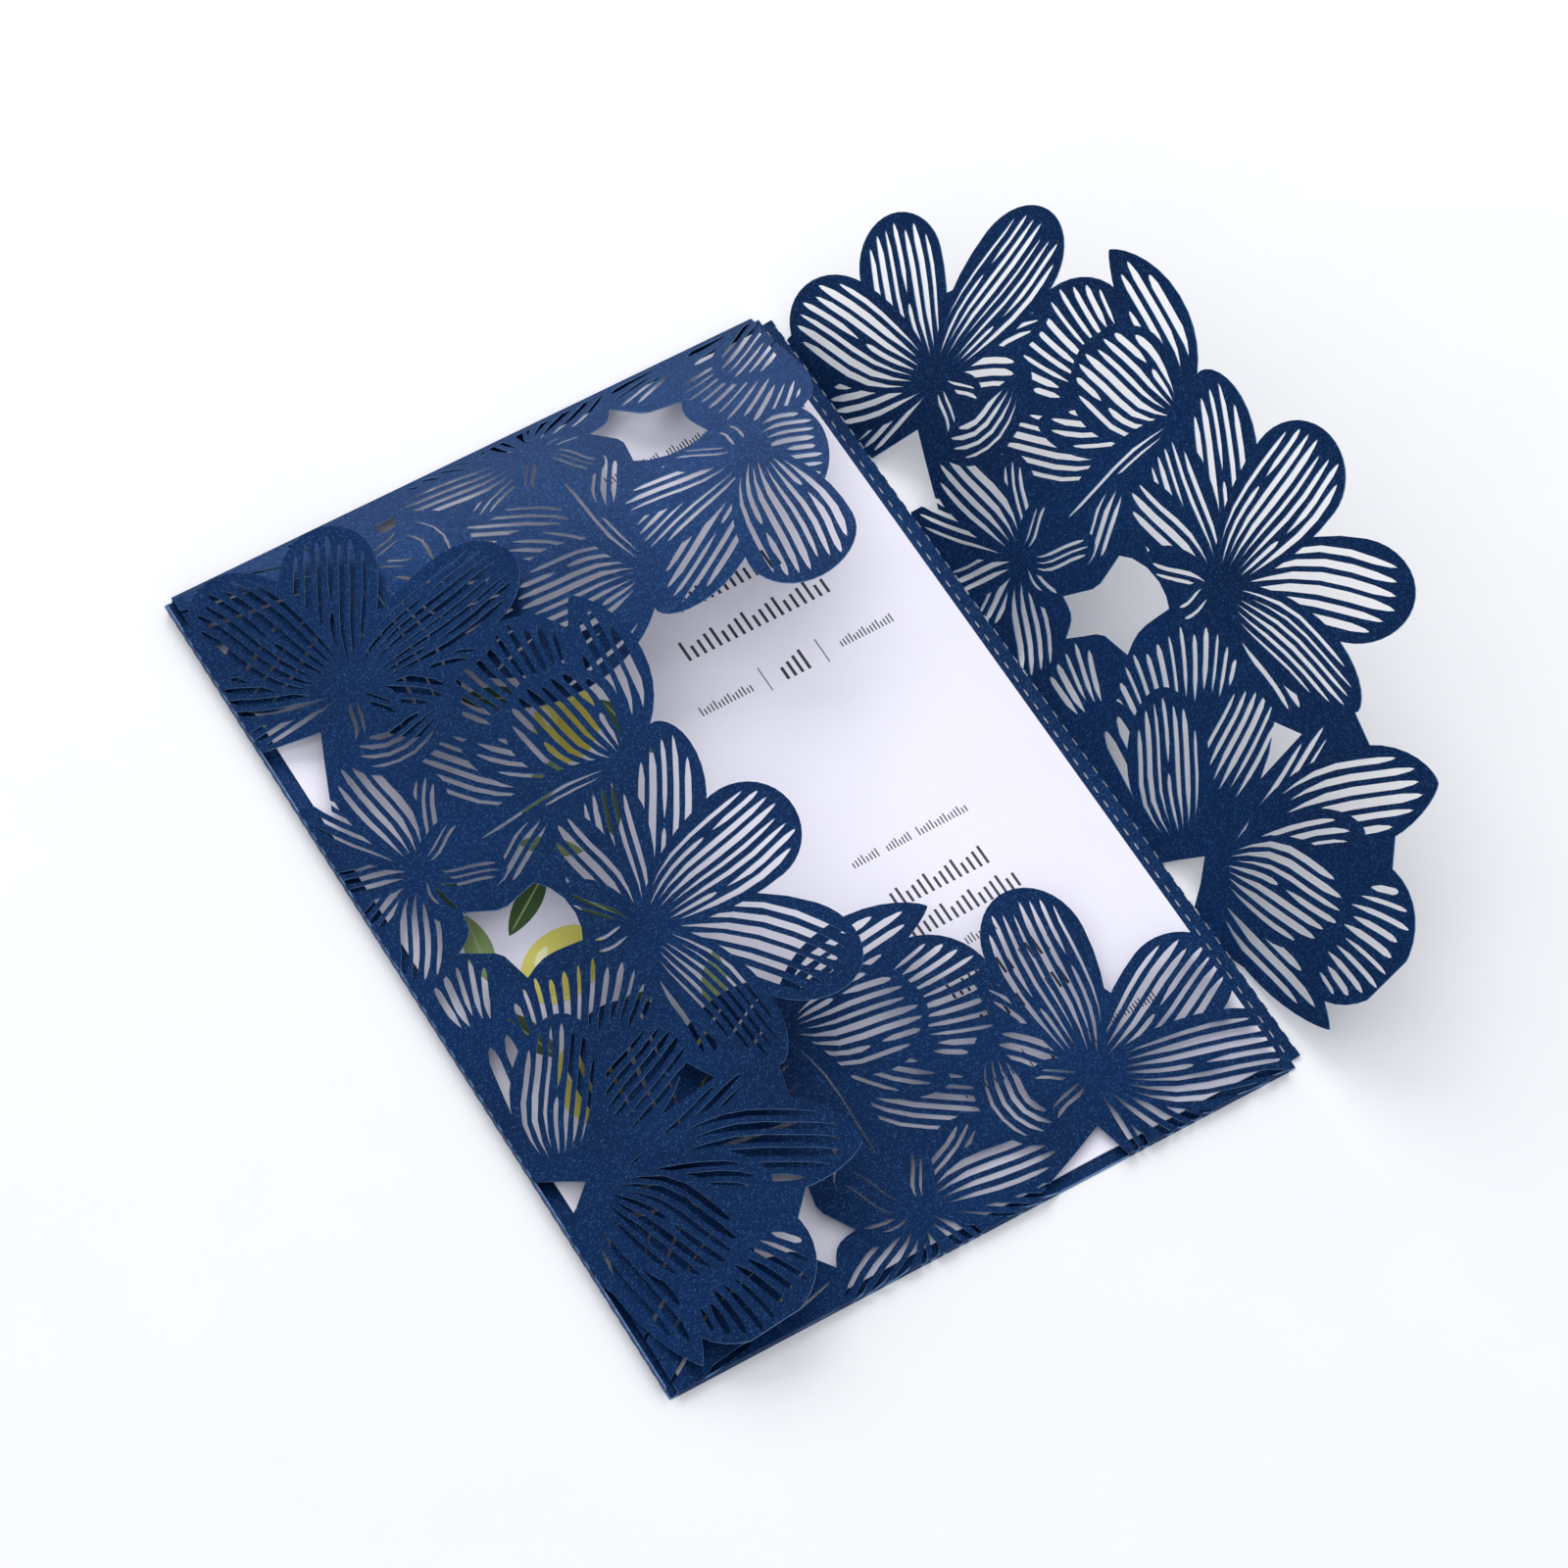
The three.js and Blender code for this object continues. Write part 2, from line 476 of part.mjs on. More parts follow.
// The blank as flat triangles, zone by zone, so that none reaches over a fold line. Zones that
// share a fold line share all their points on it.
function flatTriangles(blank) {
  const shared = [];
  const zones = ZONES.map((zone) => {
    const withoutRepeats = (outline) => outline
      .filter((point, i) => String(point) !== String(outline[(i + 1) % outline.length]));
    const outlines = outlinesOf(blank.intersect(box(zone.low, zone.high)))
      .map((outline) => simplified(outline, (point) => onZoneEdge(zone, point)))
      .map((outline) => withoutRepeats(outline.map((point) => stepped(zone, point))))
      .filter((outline) => outline.length > 2 && Math.abs(areaOf(outline)) > SMALLEST_AREA);
    shared.push(...outlines.flat().filter((point) => onZoneEdge(zone, point)));
    return outlines;
  });
  const points = [];
  const numbers = new Map();
  const number = (point) => {
    const key = point.map((value) => Math.round(value / ON_LINE)).join(' ');
    if (!numbers.has(key)) {
      numbers.set(key, points.length);
      points.push(point);
    }
    return numbers.get(key);
  };
  const triangles = [];
  for (const outlines of zones) {
    const full = outlines.map((outline) => withShared(outline, shared));
    const holes = full.filter((outline) => areaOf(outline) < 0);
    for (const outer of full.filter((outline) => areaOf(outline) > 0)) {
      const own = holes.filter((hole) => isInside(hole[0], outer));
      const vectors = [outer, ...own].map((outline) => outline.map(([x, y]) => new THREE.Vector2(x, y)));
      const all = [outer, ...own].flat();
      for (const face of THREE.ShapeUtils.triangulateShape(vectors[0], vectors.slice(1))) {
        const corners = face.map((i) => all[i]);
        triangles.push((areaOf(corners) > 0 ? corners : corners.reverse()).map(number));
      }
    }
  }
  return { points, triangles: triangles.filter(([a, b, c]) => a !== b && b !== c && c !== a) };
}

// An outline with the points that other zones have on its straight edges along fold lines
function withShared(outline, shared) {
  return outline.flatMap((point, i) => {
    const next = outline[(i + 1) % outline.length];
    const axis = [0, 1].find((k) => Math.abs(point[k] - next[k]) < ON_LINE);
    if (axis === undefined) return [point];
    const other = 1 - axis;
    const [low, high] = [Math.min(point[other], next[other]), Math.max(point[other], next[other])];
    const isBetween = (p) => Math.abs(p[axis] - point[axis]) < ON_LINE
      && p[other] > low + ON_LINE && p[other] < high - ON_LINE;
    const between = shared
      .filter(isBetween)
      .sort((a, b) => (a[other] - b[other]) * Math.sign(next[other] - point[other]))
      .filter((p, k, list) => k === 0 || Math.abs(p[other] - list[k - 1][other]) > ON_LINE);
    return [point, ...between];
  });
}

const NUDGE = 0.01;

function normalOf(place, x, y) {
  const alongX = place(x + NUDGE, y).sub(place(x - NUDGE, y));
  const alongY = place(x, y + NUDGE).sub(place(x, y - NUDGE));
  return alongX.cross(alongY).normalize();
}

// A vertex on a fold line lies in two zones: both put it in the same place, and its thickness
// runs along the mitre between their normals.
function foldVertex(x, y) {
  const zones = ZONES.filter((zone) => inZone(zone, [x, y]));
  const [first, second = first] = zones;
  const normals = [normalOf(first.place, x, y), normalOf(second.place, x, y)];
  const mitre = normals[0].clone().add(normals[1]).divideScalar(1 + normals[0].dot(normals[1]));
  return { point: second.place(x, y), offset: mitre.multiplyScalar(COVER_THICKNESS / 2) };
}

// Gives a triangle of no width to its neighbour across its longest side, which is cut in two.
function withoutSlivers({ points, triangles }) {
  const lengthOf = (a, b) => Math.hypot(points[a][0] - points[b][0], points[a][1] - points[b][1]);
  const isSliver = (triangle) => {
    const sides = triangle.map((corner, k) => lengthOf(corner, triangle[(k + 1) % 3]));
    return (2 * Math.abs(areaOf(triangle.map((corner) => points[corner])))) / Math.max(...sides) < SLIVER;
  };
  const kept = [...triangles];
  for (let i = kept.findIndex(isSliver), tries = 0; i >= 0 && tries < triangles.length; tries += 1) {
    const sliver = kept[i];
    const sides = [0, 1, 2].map((k) => lengthOf(sliver[k], sliver[(k + 1) % 3]));
    const longest = sides.indexOf(Math.max(...sides));
    const [from, to, middle] = [0, 1, 2].map((k) => sliver[(longest + k) % 3]);
    const other = kept.findIndex((triangle) =>
      triangle.some((corner, k) => corner === to && triangle[(k + 1) % 3] === from));
    if (other >= 0) {
      const far = kept[other].find((corner) => corner !== from && corner !== to);
      kept[other] = [middle, from, far];
      kept.push([to, middle, far]);
    }
    kept.splice(i, 1);
    i = kept.findIndex(isSliver);
  }
  return { points, triangles: kept };
}

// The triangles that hang together with the first one, without loose scraps of lace
function connected(triangles) {
  const around = new Map();
  triangles.forEach((triangle, i) => triangle.forEach((corner) => {
    if (!around.has(corner)) around.set(corner, []);
    around.get(corner).push(i);
  }));
  const reached = new Set([0]);
  for (const i of reached) {
    for (const corner of triangles[i]) around.get(corner).forEach((j) => reached.add(j));
  }
  return triangles.filter((_, i) => reached.has(i));
}

// Folds the blank: two parallel faces, and walls along every edge that only one triangle has.
function foldedSheet() {
  const mesh = withoutSlivers(flatTriangles(flatBlank()));
  const used = new Map();
  const vertices = [];
  const number = (corner) => {
    if (!used.has(corner)) {
      const { point, offset } = foldVertex(...mesh.points[corner]);
      point.z += COVER_THICKNESS / 2;
      used.set(corner, used.size);
      vertices.push(point.clone().add(offset), point.clone().sub(offset));
    }
    return used.get(corner) * 2;
  };
  const faces = [];
  const edges = new Map();
  for (const triangle of connected(mesh.triangles)) {
    const [a, b, c] = triangle.map(number);
    faces.push([a, b, c], [a + 1, c + 1, b + 1]);
    for (const [from, to] of [[a, b], [b, c], [c, a]]) edges.set(`${from} ${to}`, [from, to]);
  }
  for (const [from, to] of edges.values()) {
    if (!edges.has(`${to} ${from}`)) faces.push([from, from + 1, to + 1], [from, to + 1, to]);
  }
  const geometry = new THREE.BufferGeometry();
  const numbers = vertices.flatMap((vertex) => vertex.toArray());
  geometry.setAttribute('position', new THREE.Float32BufferAttribute(numbers, 3));
  geometry.setIndex(faces.flat());
  return geometry;
}

// The printed card: a plain sheet with slightly rounded corners, flat on the panel
function insertCard() {
  const [x, y, r] = [INSERT_WIDTH / 2, INSERT_HEIGHT / 2, INSERT_CORNER];
  const outline = new THREE.Shape();
  outline.moveTo(-x + r, -y);
  outline.lineTo(x - r, -y);
  outline.absarc(x - r, -y + r, r, -Math.PI / 2, 0);
  outline.absarc(x - r, y - r, r, 0, Math.PI / 2);
  outline.absarc(-x + r, y - r, r, Math.PI / 2, Math.PI);
  outline.absarc(-x + r, -y + r, r, Math.PI, 1.5 * Math.PI);
  const settings = { depth: INSERT_THICKNESS, bevelEnabled: false, curveSegments: 3 };
  return new THREE.ExtrudeGeometry(outline, settings);
}

const group = new THREE.Group();

const cover = new THREE.Mesh(
  foldedSheet(),
  new THREE.MeshStandardMaterial({ color: 0x1a3e6e, roughness: 0.5, metalness: 0.15 }),
);
cover.name = 'cover';
group.add(cover);

const insert = new THREE.Mesh(
  insertCard(),
  new THREE.MeshStandardMaterial({ color: 0xf2f0fc, roughness: 0.7, metalness: 0 }),
);
insert.name = 'insert_card';
insert.position.set(INSERT_SHIFT, 0, COVER_THICKNESS);
group.add(insert);

export default group;
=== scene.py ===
# %% [markdown]
# # A laser-cut wedding invitation
# The object is one sheet of navy pearl card, cut into lace by a laser and folded round a white
# printed card. Three of its four flaps lie closed and the right one stands open.
# A folded sheet is best made the way the factory makes it: draw the flat blank, cut it, then fold
# it. Every slit then lands where the real one does, whatever way its flap leans.
# The first step brings in the plain model of the same card, which fixes size and place.

# %% Load the plain model
import math

import bpy
import numpy as np
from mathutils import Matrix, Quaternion, Vector
from mathutils.geometry import delaunay_2d_cdt


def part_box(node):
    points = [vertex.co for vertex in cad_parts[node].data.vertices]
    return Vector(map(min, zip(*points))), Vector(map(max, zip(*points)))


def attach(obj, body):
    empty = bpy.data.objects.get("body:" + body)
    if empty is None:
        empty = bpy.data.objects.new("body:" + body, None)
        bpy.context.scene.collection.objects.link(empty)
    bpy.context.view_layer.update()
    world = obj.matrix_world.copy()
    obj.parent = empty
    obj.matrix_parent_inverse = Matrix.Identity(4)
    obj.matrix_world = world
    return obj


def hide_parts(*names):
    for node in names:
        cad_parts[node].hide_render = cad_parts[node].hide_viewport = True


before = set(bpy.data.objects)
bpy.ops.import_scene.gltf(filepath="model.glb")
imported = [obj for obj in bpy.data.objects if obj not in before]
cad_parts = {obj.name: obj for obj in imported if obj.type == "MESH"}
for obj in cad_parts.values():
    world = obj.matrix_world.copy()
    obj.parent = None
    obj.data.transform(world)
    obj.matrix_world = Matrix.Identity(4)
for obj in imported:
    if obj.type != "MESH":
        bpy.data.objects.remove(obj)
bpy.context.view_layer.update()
insert_low, insert_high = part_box("insert_card")
MM = 0.001

# %% [markdown]
# ## Sizes of the sheet
# The back panel is 124.5 x 185 mm and each long fold is two score lines with a narrow spine
# between them, so that the cover can hold the thickness of a card. These numbers, in millimetres
# and degrees, drive everything that follows.

# %% Sizes
PANEL_WIDTH = 124.5
PANEL_HEIGHT = 185.0
THICKNESS = 0.3
SIDE_SPINE = 2.0
CROSS_SPINE = 1.3
SPINE_END_GAP = 1.5
FLAP_REACH = 73.0
CROSS_TUCK = 4.0
TOP_START = 181.0
BOTTOM_START = 55.5
RIGHT_SPINE_RISE = 10.0
RIGHT_FLAP_RISE = 42.0
LEFT_FLAP_LIFT = 13.0
TOP_FLAP_LIFT = 23.0
BOTTOM_FLAP_LIFT = 5.0
HELD_SHARE = 0.93
LIFT_BLEND = 3.0

HALF_WIDTH = PANEL_WIDTH / 2
HALF_HEIGHT = PANEL_HEIGHT / 2
SIDE_FOLD = HALF_WIDTH + SIDE_SPINE
CROSS_FOLD = HALF_HEIGHT + CROSS_SPINE
CROSS_SIDE = HALF_WIDTH - SPINE_END_GAP
print("blank, mm:", 2 * (SIDE_FOLD + FLAP_REACH), "x", 2 * (CROSS_FOLD + FLAP_REACH - CROSS_TUCK))

# %% [markdown]
# ## The lace drawing
# All four flaps carry the same drawing of large flowers, tulips and ruffled cups. It is kept in
# one flap's own measures: p runs away from the fold and q along it. A petal is a row of numbers:
# foot, tip, half width, sideways bend, number of slits, where it is widest, how blunt its tip is,
# and where its slits begin and end. Rows further down lie over the ones above, as in a drawing
# with paper shapes. Some petals belong only to the tall side flaps, others only to the short ones,
# here called cross flaps. Where a cross flap lies beneath the left flap it gets fewer, finer slits,
# because two open layers would let more light through than the real pair does.

# %% The petals
UPPER = (19.3, 148.5)
LILY = (12.7, 109.4)
LOWER = (39.5, 76.2)
EYES = [(UPPER, 3.0), (LILY, 2.4), (LOWER, 3.1)]

PETALS = [
    # the bud beside the lower flower
    ("all", (48, 106), (43.5, 143.6), 13.0, 0, 11, 0.68, 0.5, 0.56, 0.96),
    ("all", (54, 106), (61.3, 140), 6.4, -2.6, 4, 0.45, 0.8, 0.20, 0.90),
    ("all", (42, 107), (21, 132), 7.8, 0.5, 6, 0.58, 0.6, 0.10, 0.93),
    ("all", (51, 107), (30.5, 126.5), 5.8, 1.2, 4, 0.50, 0.7, 0.08, 0.93),
    ("all", (52.6, 106), (47, 130.5), 10.6, 1.5, 8, 0.56, 0.55, 0.05, 0.95),
    # the lower flower's upper fan
    ("all", (41, 105), (32, 86.5), 4.6, 0, 3, 0.50, 0.6, 0.10, 0.85),
    ("all", LOWER, (61.2, 109.2), 7.1, -3.2, 5, 0.62, 0.55, 0.15, 0.93),
    ("all", LOWER, (47.5, 107), 6.4, 0, 5, 0.66, 0.6, 0.12, 0.92),
    ("all", LOWER, (37, 106), 5.0, 0, 3, 0.62, 0.6, 0.12, 0.92),
    ("all", LOWER, (31.5, 91.5), 4.0, 0, 3, 0.62, 0.6, 0.19, 0.92),
    # leaves that cross beneath the bud
    ("all", (54, 105.5), (20, 108.5), 3.9, -1.2, 3, 0.50, 0.8, 0.12, 0.92),
    ("all", (38, 106.5), (19, 98.2), 4.6, 0.5, 3, 0.50, 0.6, 0.15, 0.90),
    # the tulip: ruffle, back and cup
    ("all", (5, 66), (8.5, 92), 7.0, 0, 5, 0.72, 0.5, 0.45, 0.93),
    ("all", (6, 46), (27, 79.5), 14.6, -1.8, 13, 0.68, 0.5, 0.60, 0.96),
    ("side", (5, 45.5), (36, 57.5), 8.0, -1.0, 6, 0.68, 0.55, 0.36, 0.95),
    ("all", (4, 47), (9.5, 77), 5.2, 1.2, 2, 0.62, 0.5, 0.15, 0.92),
    ("all", (4.6, 45.5), (19.5, 71), 8.6, 0.5, 7, 0.52, 0.55, 0.07, 0.94),
    # the lower flower's other petals
    ("all", LOWER, (29.5, 78), 4.2, 0, 4, 0.62, 0.5, 0.25, 0.90),
    ("side", LOWER, (37.5, 45.5), 5.0, 0.6, 3, 0.60, 0.6, 0.30, 0.94),
    ("side", LOWER, (66, 46.5), 9.2, 2.2, 6, 0.70, 0.5, 0.10, 0.93),
    ("side", LOWER, (46.5, 40), 6.6, 1.2, 6, 0.55, 0.6, 0.10, 0.94),
    ("cross", (41, 81), (47, 65), 12.6, 0, 9, 0.60, 0.5, 0.30, 0.92),
    ("all", LOWER, (73, 81.6), 10.4, 0.6, 8, 0.72, 0.5, 0.10, 0.95),
    # the large ruffled flower at the flap's lower end
    ("side", (9, 38), (44, 43.5), 4.6, -1.2, 3, 0.55, 0.7, 0.10, 0.92),
    ("side", (12, 34), (25, -0.4), 13.2, 0.8, 11, 0.66, 0.5, 0.60, 0.96),
    ("side", (16, 39), (50.3, 19.5), 9.0, 1.0, 6, 0.60, 0.7, 0.20, 0.93),
    ("side", (4.5, 36), (7.2, 1), 5.2, 0.6, 3, 0.45, 0.85, 0.12, 0.90),
    ("side", (11, 38), (34, 22.5), 4.6, 1.5, 3, 0.60, 0.6, 0.12, 0.93),
    ("side", (8.5, 39), (20.5, 13), 9.4, 1.2, 7, 0.60, 0.6, 0.05, 0.95),
    # the lily at the fold
    ("all", LILY, (-3, 106), 4.8, 0, 3, 0.60, 0.5, 0.12, 0.90),
    ("all", LILY, (-3, 118), 4.6, 0, 3, 0.60, 0.5, 0.15, 0.90),
    ("all", LILY, (0.5, 89), 6.0, 0, 4, 0.66, 0.5, 0.15, 0.93),
    ("all", LILY, (13, 97), 3.2, 0, 2, 0.60, 0.5, 0.15, 0.90),
    ("all", LILY, (26, 101.5), 4.6, -1.2, 4, 0.60, 0.6, 0.14, 0.92),
    ("all", LILY, (0.2, 135), 5.4, -1.0, 4, 0.60, 0.6, 0.10, 0.92),
    ("all", LILY, (22.5, 127), 5.0, 0, 4, 0.60, 0.6, 0.12, 0.92),
    ("all", LILY, (23.5, 113.5), 3.8, 0, 3, 0.60, 0.5, 0.15, 0.92),
    ("all", LILY, (10.8, 139), 6.2, -1.0, 4, 0.62, 0.6, 0.10, 0.93),
    # the upper flower
    ("all", UPPER, (45, 140.5), 5.2, 1.4, 4, 0.62, 0.6, 0.11, 0.93),
    ("all", UPPER, (34, 133), 5.0, 1.8, 3, 0.60, 0.6, 0.11, 0.85),
    ("all", (33, 136.5), (12.6, 138.5), 5.6, 4.2, 4, 0.55, 0.5, 0.08, 0.92),
    ("all", UPPER, (24, 138), 3.8, 0, 3, 0.60, 0.6, 0.19, 0.94),
    ("all", UPPER, (14.5, 138), 4.0, 0.5, 3, 0.60, 0.6, 0.19, 0.94),
    ("all", UPPER, (-3, 150.5), 4.6, 0, 3, 0.60, 0.5, 0.12, 0.90),
    ("all", UPPER, (-3, 163), 6.4, 0, 4, 0.62, 0.5, 0.12, 0.90),
    ("all", UPPER, (31.8, 179.6), 9.2, 1.0, 7, 0.70, 0.5, 0.10, 0.95),
    ("all", UPPER, (57, 153.5), 9.2, 0.6, 8, 0.70, 0.5, 0.10, 0.94),
    ("all", UPPER, (6.4, 182.8), 9.4, 0.5, 7, 0.66, 0.5, 0.10, 0.95),
]

# The ground that the petals lie on, and the windows that are cut through everything last
SIDE_GROUND = [
    (0, 178), (8, 178), (18, 165), (34, 158), (46, 145), (53, 137), (58, 120), (58, 95),
    (60, 82), (57, 66), (48, 50), (44, 32), (38, 18), (26, 6), (12, 8), (4, 12), (0, 24),
]
CROSS_GROUND = SIDE_GROUND[:9] + [(48, 72), (34, 67), (24, 62), (0, 56)]
WINDOWS = [
    [(-4, 134.5), (-4, 148.2), (3, 146.2), (10.9, 144), (8.6, 138.5), (6.4, 133), (4.8, 128.8),
     (2.6, 132.2)],
    [(-4, 33.2), (-4, 49.2), (3.2, 44.4), (7.4, 41.4), (3.6, 38.2)],
    [(32.8, 50.2), (35.6, 44.6), (24.2, 44.2), (28.5, 46.6)],
]
# On the cross flaps: the top one's small window and uncut fold, and their one rounded corner
TOP_WINDOW = [(11.2, 137), (11.4, 141.6), (14.6, 141), (14.2, 138)]
CORNER = [(23, 50), (23, 57.6), (27, 58), (31, 59.2), (33.6, 61), (35.2, 63.6), (36.5, 63.4),
          (38, 60), (38, 50)]
CORNER_RIM = [(16, 56), (16, 59.6), (25.8, 60), (29.9, 61.1), (32, 62.6), (33.4, 65), (35.4, 65),
              (37, 56)]
TOP_STRIP = [(2.7, 50), (4.8, 50), (4.8, 190), (2.7, 190)]
STAR = [(14.6, 98), (27.9, 95.4), (29.6, 80.6), (18, 80.2), (10.2, 91.6)]
STAR_BOW = [1.6, -1.6, 1.0, 1.6, 1.0]

# Where a flap lies beneath the left one
UNDER = {
    "side": lambda p, q: False,
    "top": lambda p, q: q > 150 or (p > 22 and q > 120),
    "bottom": lambda p, q: q < 85 or (p > 18 and q < 110),
}
print("petals in the drawing:", len(PETALS))

# %% [markdown]
# ## From a petal to its outline
# Each petal follows a line from foot to tip that may bend to one side. Its breadth swells in a
# quarter arc and closes in another, which gives round petals and pointed ones from one rule.
# Tracing each petal by hand would look freer, but a rule keeps all of them easy to change.

# %% Petal outlines
OUTLINE_STEPS = 9


def breadth(along, widest, bluntness):
    if along < widest:
        return max(0.0, 1 - ((widest - along) / widest) ** 2) ** 0.75
    return max(0.0, 1 - ((along - widest) / (1 - widest)) ** 2) ** bluntness


def beside(foot, tip, bend, along, side):
    """The point at a share of the way along a petal's bent line, and so far to its side."""
    dx, dy = tip[0] - foot[0], tip[1] - foot[1]
    length = math.hypot(dx, dy)
    nx, ny = -dy / length, dx / length
    bow = bend * 4 * along * (1 - along)
    gx = dx + nx * bend * 4 * (1 - 2 * along)
    gy = dy + ny * bend * 4 * (1 - 2 * along)
    g = math.hypot(gx, gy)
    return (foot[0] + dx * along + nx * bow - gy / g * side,
            foot[1] + dy * along + ny * bow + gx / g * side)


def petal_outline(petal):
    _, foot, tip, half, bend, _, widest, bluntness, _, _ = petal
    turns = [math.pi / 2 * i / OUTLINE_STEPS for i in range(OUTLINE_STEPS + 1)]
    stations = [widest - widest * math.cos(a) for a in turns]
    stations += [widest + (1 - widest) * math.sin(a) for a in turns[1:]]
    left = [beside(foot, tip, bend, s, breadth(s, widest, bluntness) * half) for s in stations]
    right = [beside(foot, tip, bend, s, -breadth(s, widest, bluntness) * half) for s in stations]
    return left + right[-2:0:-1]


print("points round one petal:", len(petal_outline(PETALS[0])))

# %% [markdown]
# ## Slits
# Slits are narrow lanes that follow the petal and stop at its rim. They sway a little, differ in
# width, and some are bridged halfway, so they look drawn by hand. The rim and the bridges are
# there because a real sheet of card needs them to hold together. The lanes are found by walking
# along the petal in small steps, which copes with any petal shape without special cases.

# %% Slits
SLIT_STEPS = 8
LANE_STEP = 0.01
RIM = 2.0
RIB = 0.95
WIDEST_SLIT = 1.0
THIN_SLIT = 0.34
NARROWEST_SLIT = 0.16
SHORTEST_SLIT = 3.6
BRIDGE = 1.3
SWAY = 0.45
RUFFLE_START = 0.44
UNDER_SHARE = 0.6


def lane_runs(places):
    """Splits a lane's places into unbroken runs."""
    runs, run = [], []
    for before, place in zip([None] + places, places):
        if run and place - before > 1.5 * LANE_STEP:
            runs.append(run)
            run = []
        run.append(place)
    return runs + [run] if run else runs


def petal_slits(petal, is_under):
    _, foot, tip, half, bend, count, widest, bluntness, start, end = petal
    slits = []

    def room(along):
        rim = RIM * (0.22 + 0.68 * min(1.0, along / widest))
        return breadth(along, widest, bluntness) * half - rim

    is_ruffle = start > RUFFLE_START
    share = UNDER_SHARE if is_under else 1.0
    for number in range(count):
        lane = -1 + (2 * number + 1) / count
        is_main = number % 2 == (count // 2) % 2
        if is_under and not is_main:
            continue
        is_middle = number == count // 2
        first = start + 0.05 * ((number * 37 + count * 11) % 5) / 4
        last = end - 0.05 * ((number * 53 + count * 7) % 4) / 3
        unevenness = 0.8 + 0.5 * ((number * 29 + count * 5) % 4) / 3
        is_bridged = half > 6 and abs(lane) < 0.7 and (number * 3 + count) % 5 == 1
        bridge = 0.5 + 0.12 * lane

        def offset(along):
            sway = SWAY * math.sin(2 * math.pi * (1.1 * along + 0.13 * count)) * min(1.0, 3 * along)
            if is_ruffle:
                return lane * (half - RIM) * along / widest + sway
            return lane * room(min(along, widest * 1.08)) + sway

        def gap(along):
            wide = room(min(along, widest * 1.08))
            rib = RIB / 2 * (0.4 + 0.6 * min(1.0, 1.6 * along / widest)) * unevenness
            usual = min(wide / count - rib, WIDEST_SLIT)
            if is_middle:
                return max(usual, min(THIN_SLIT, wide - rib))
            return max(usual, min(THIN_SLIT, 2 * wide / count - rib)) if is_main else usual

        def is_open(along):
            if is_bridged and abs(along - bridge) * math.dist(foot, tip) < BRIDGE / 2:
                return False
            inside_rim = abs(offset(along)) + gap(along) * 0.7 < room(along) + SWAY
            return gap(along) > NARROWEST_SLIT and inside_rim

        places = [s for s in np.arange(first, last, LANE_STEP) if is_open(s)]
        for run in lane_runs(places):
            if (run[-1] - run[0]) * math.dist(foot, tip) < SHORTEST_SLIT:
                continue
            up, down = [], []
            for step in range(SLIT_STEPS + 1):
                t = 0.5 - 0.5 * math.cos(math.pi * step / SLIT_STEPS)
                s = run[0] + (run[-1] - run[0]) * t
                wide = share * gap(s) * min(1.0, 3.2 * t) ** 0.7 * min(1.0, 7 * (1 - t)) ** 0.5
                up.append(beside(foot, tip, bend, s, offset(s) + wide))
                down.append(beside(foot, tip, bend, s, offset(s) - wide))
            slits.append(up + down[-2:0:-1])
    return slits


print("slits in the first petal:", len(petal_slits(PETALS[0], False)))

# %% [markdown]
# ## The whole drawing
# The drawing is a list of steps, each either card laid down or a shape cut away, and later steps
# win. That is how overlapping petals hide each other without any sorting. Windows come last,
# since the laser cuts them through everything.

# %% Whole drawing
def circle(centre, radius, steps):
    return [(centre[0] + radius * math.cos(2 * math.pi * i / steps),
             centre[1] + radius * math.sin(2 * math.pi * i / steps)) for i in range(steps)]


def star_outline():
    middle = [sum(corner[axis] for corner in STAR) / 5 for axis in (0, 1)]
    points = []
    for corner, after, bow in zip(STAR, STAR[1:] + STAR[:1], STAR_BOW):
        for t in (0, 0.2, 0.4, 0.6, 0.8):
            p = corner[0] + (after[0] - corner[0]) * t
            q = corner[1] + (after[1] - corner[1]) * t
            away = math.hypot(middle[0] - p, middle[1] - q)
            inward = bow * 6 * t * (1 - t) / away
            points.append((p + (middle[0] - p) * inward, q + (middle[1] - q) * inward))
    return points


def drawing(kind):
    """The drawing as (is card, outline) steps, from the lowest to the one cut last."""
    is_cross = kind != "side"
    steps = [(True, CROSS_GROUND if is_cross else SIDE_GROUND)]
    for petal in PETALS:
        if petal[0] in ("all", "cross" if is_cross else "side"):
            _, foot, tip = petal[:3]
            is_under = UNDER[kind]((foot[0] + tip[0]) / 2, (foot[1] + tip[1]) / 2)
            steps.append((True, petal_outline(petal)))
            steps += [(False, slit) for slit in petal_slits(petal, is_under)]
    steps += [(True, circle(centre, radius, 20)) for centre, radius in EYES]
    windows = WINDOWS + [star_outline()]
    if is_cross:
        steps.append((True, CORNER_RIM))
        windows = windows + [CORNER]
    if kind == "top":
        steps.append((True, TOP_STRIP))
        windows = [TOP_WINDOW] + windows[1:]
    return steps + [(False, window) for window in windows]


for flap_kind in UNDER:
    print("steps of the drawing,", flap_kind, "flap:", len(drawing(flap_kind)))

# %% [markdown]
# ## Cutting the flat blank
# The outlines of all flaps are laid on one sheet and the sheet is divided into triangles whose
# edges follow every outline. Each triangle is then card or air, by the last step of the drawing
# that covers it. That replaces hundreds of fragile boolean cuts with one robust one.
# A grid of further points, 4 mm apart, lets the curved flaps bend smoothly.
# The side folds are perforated, so short dashes are cut along their score lines.

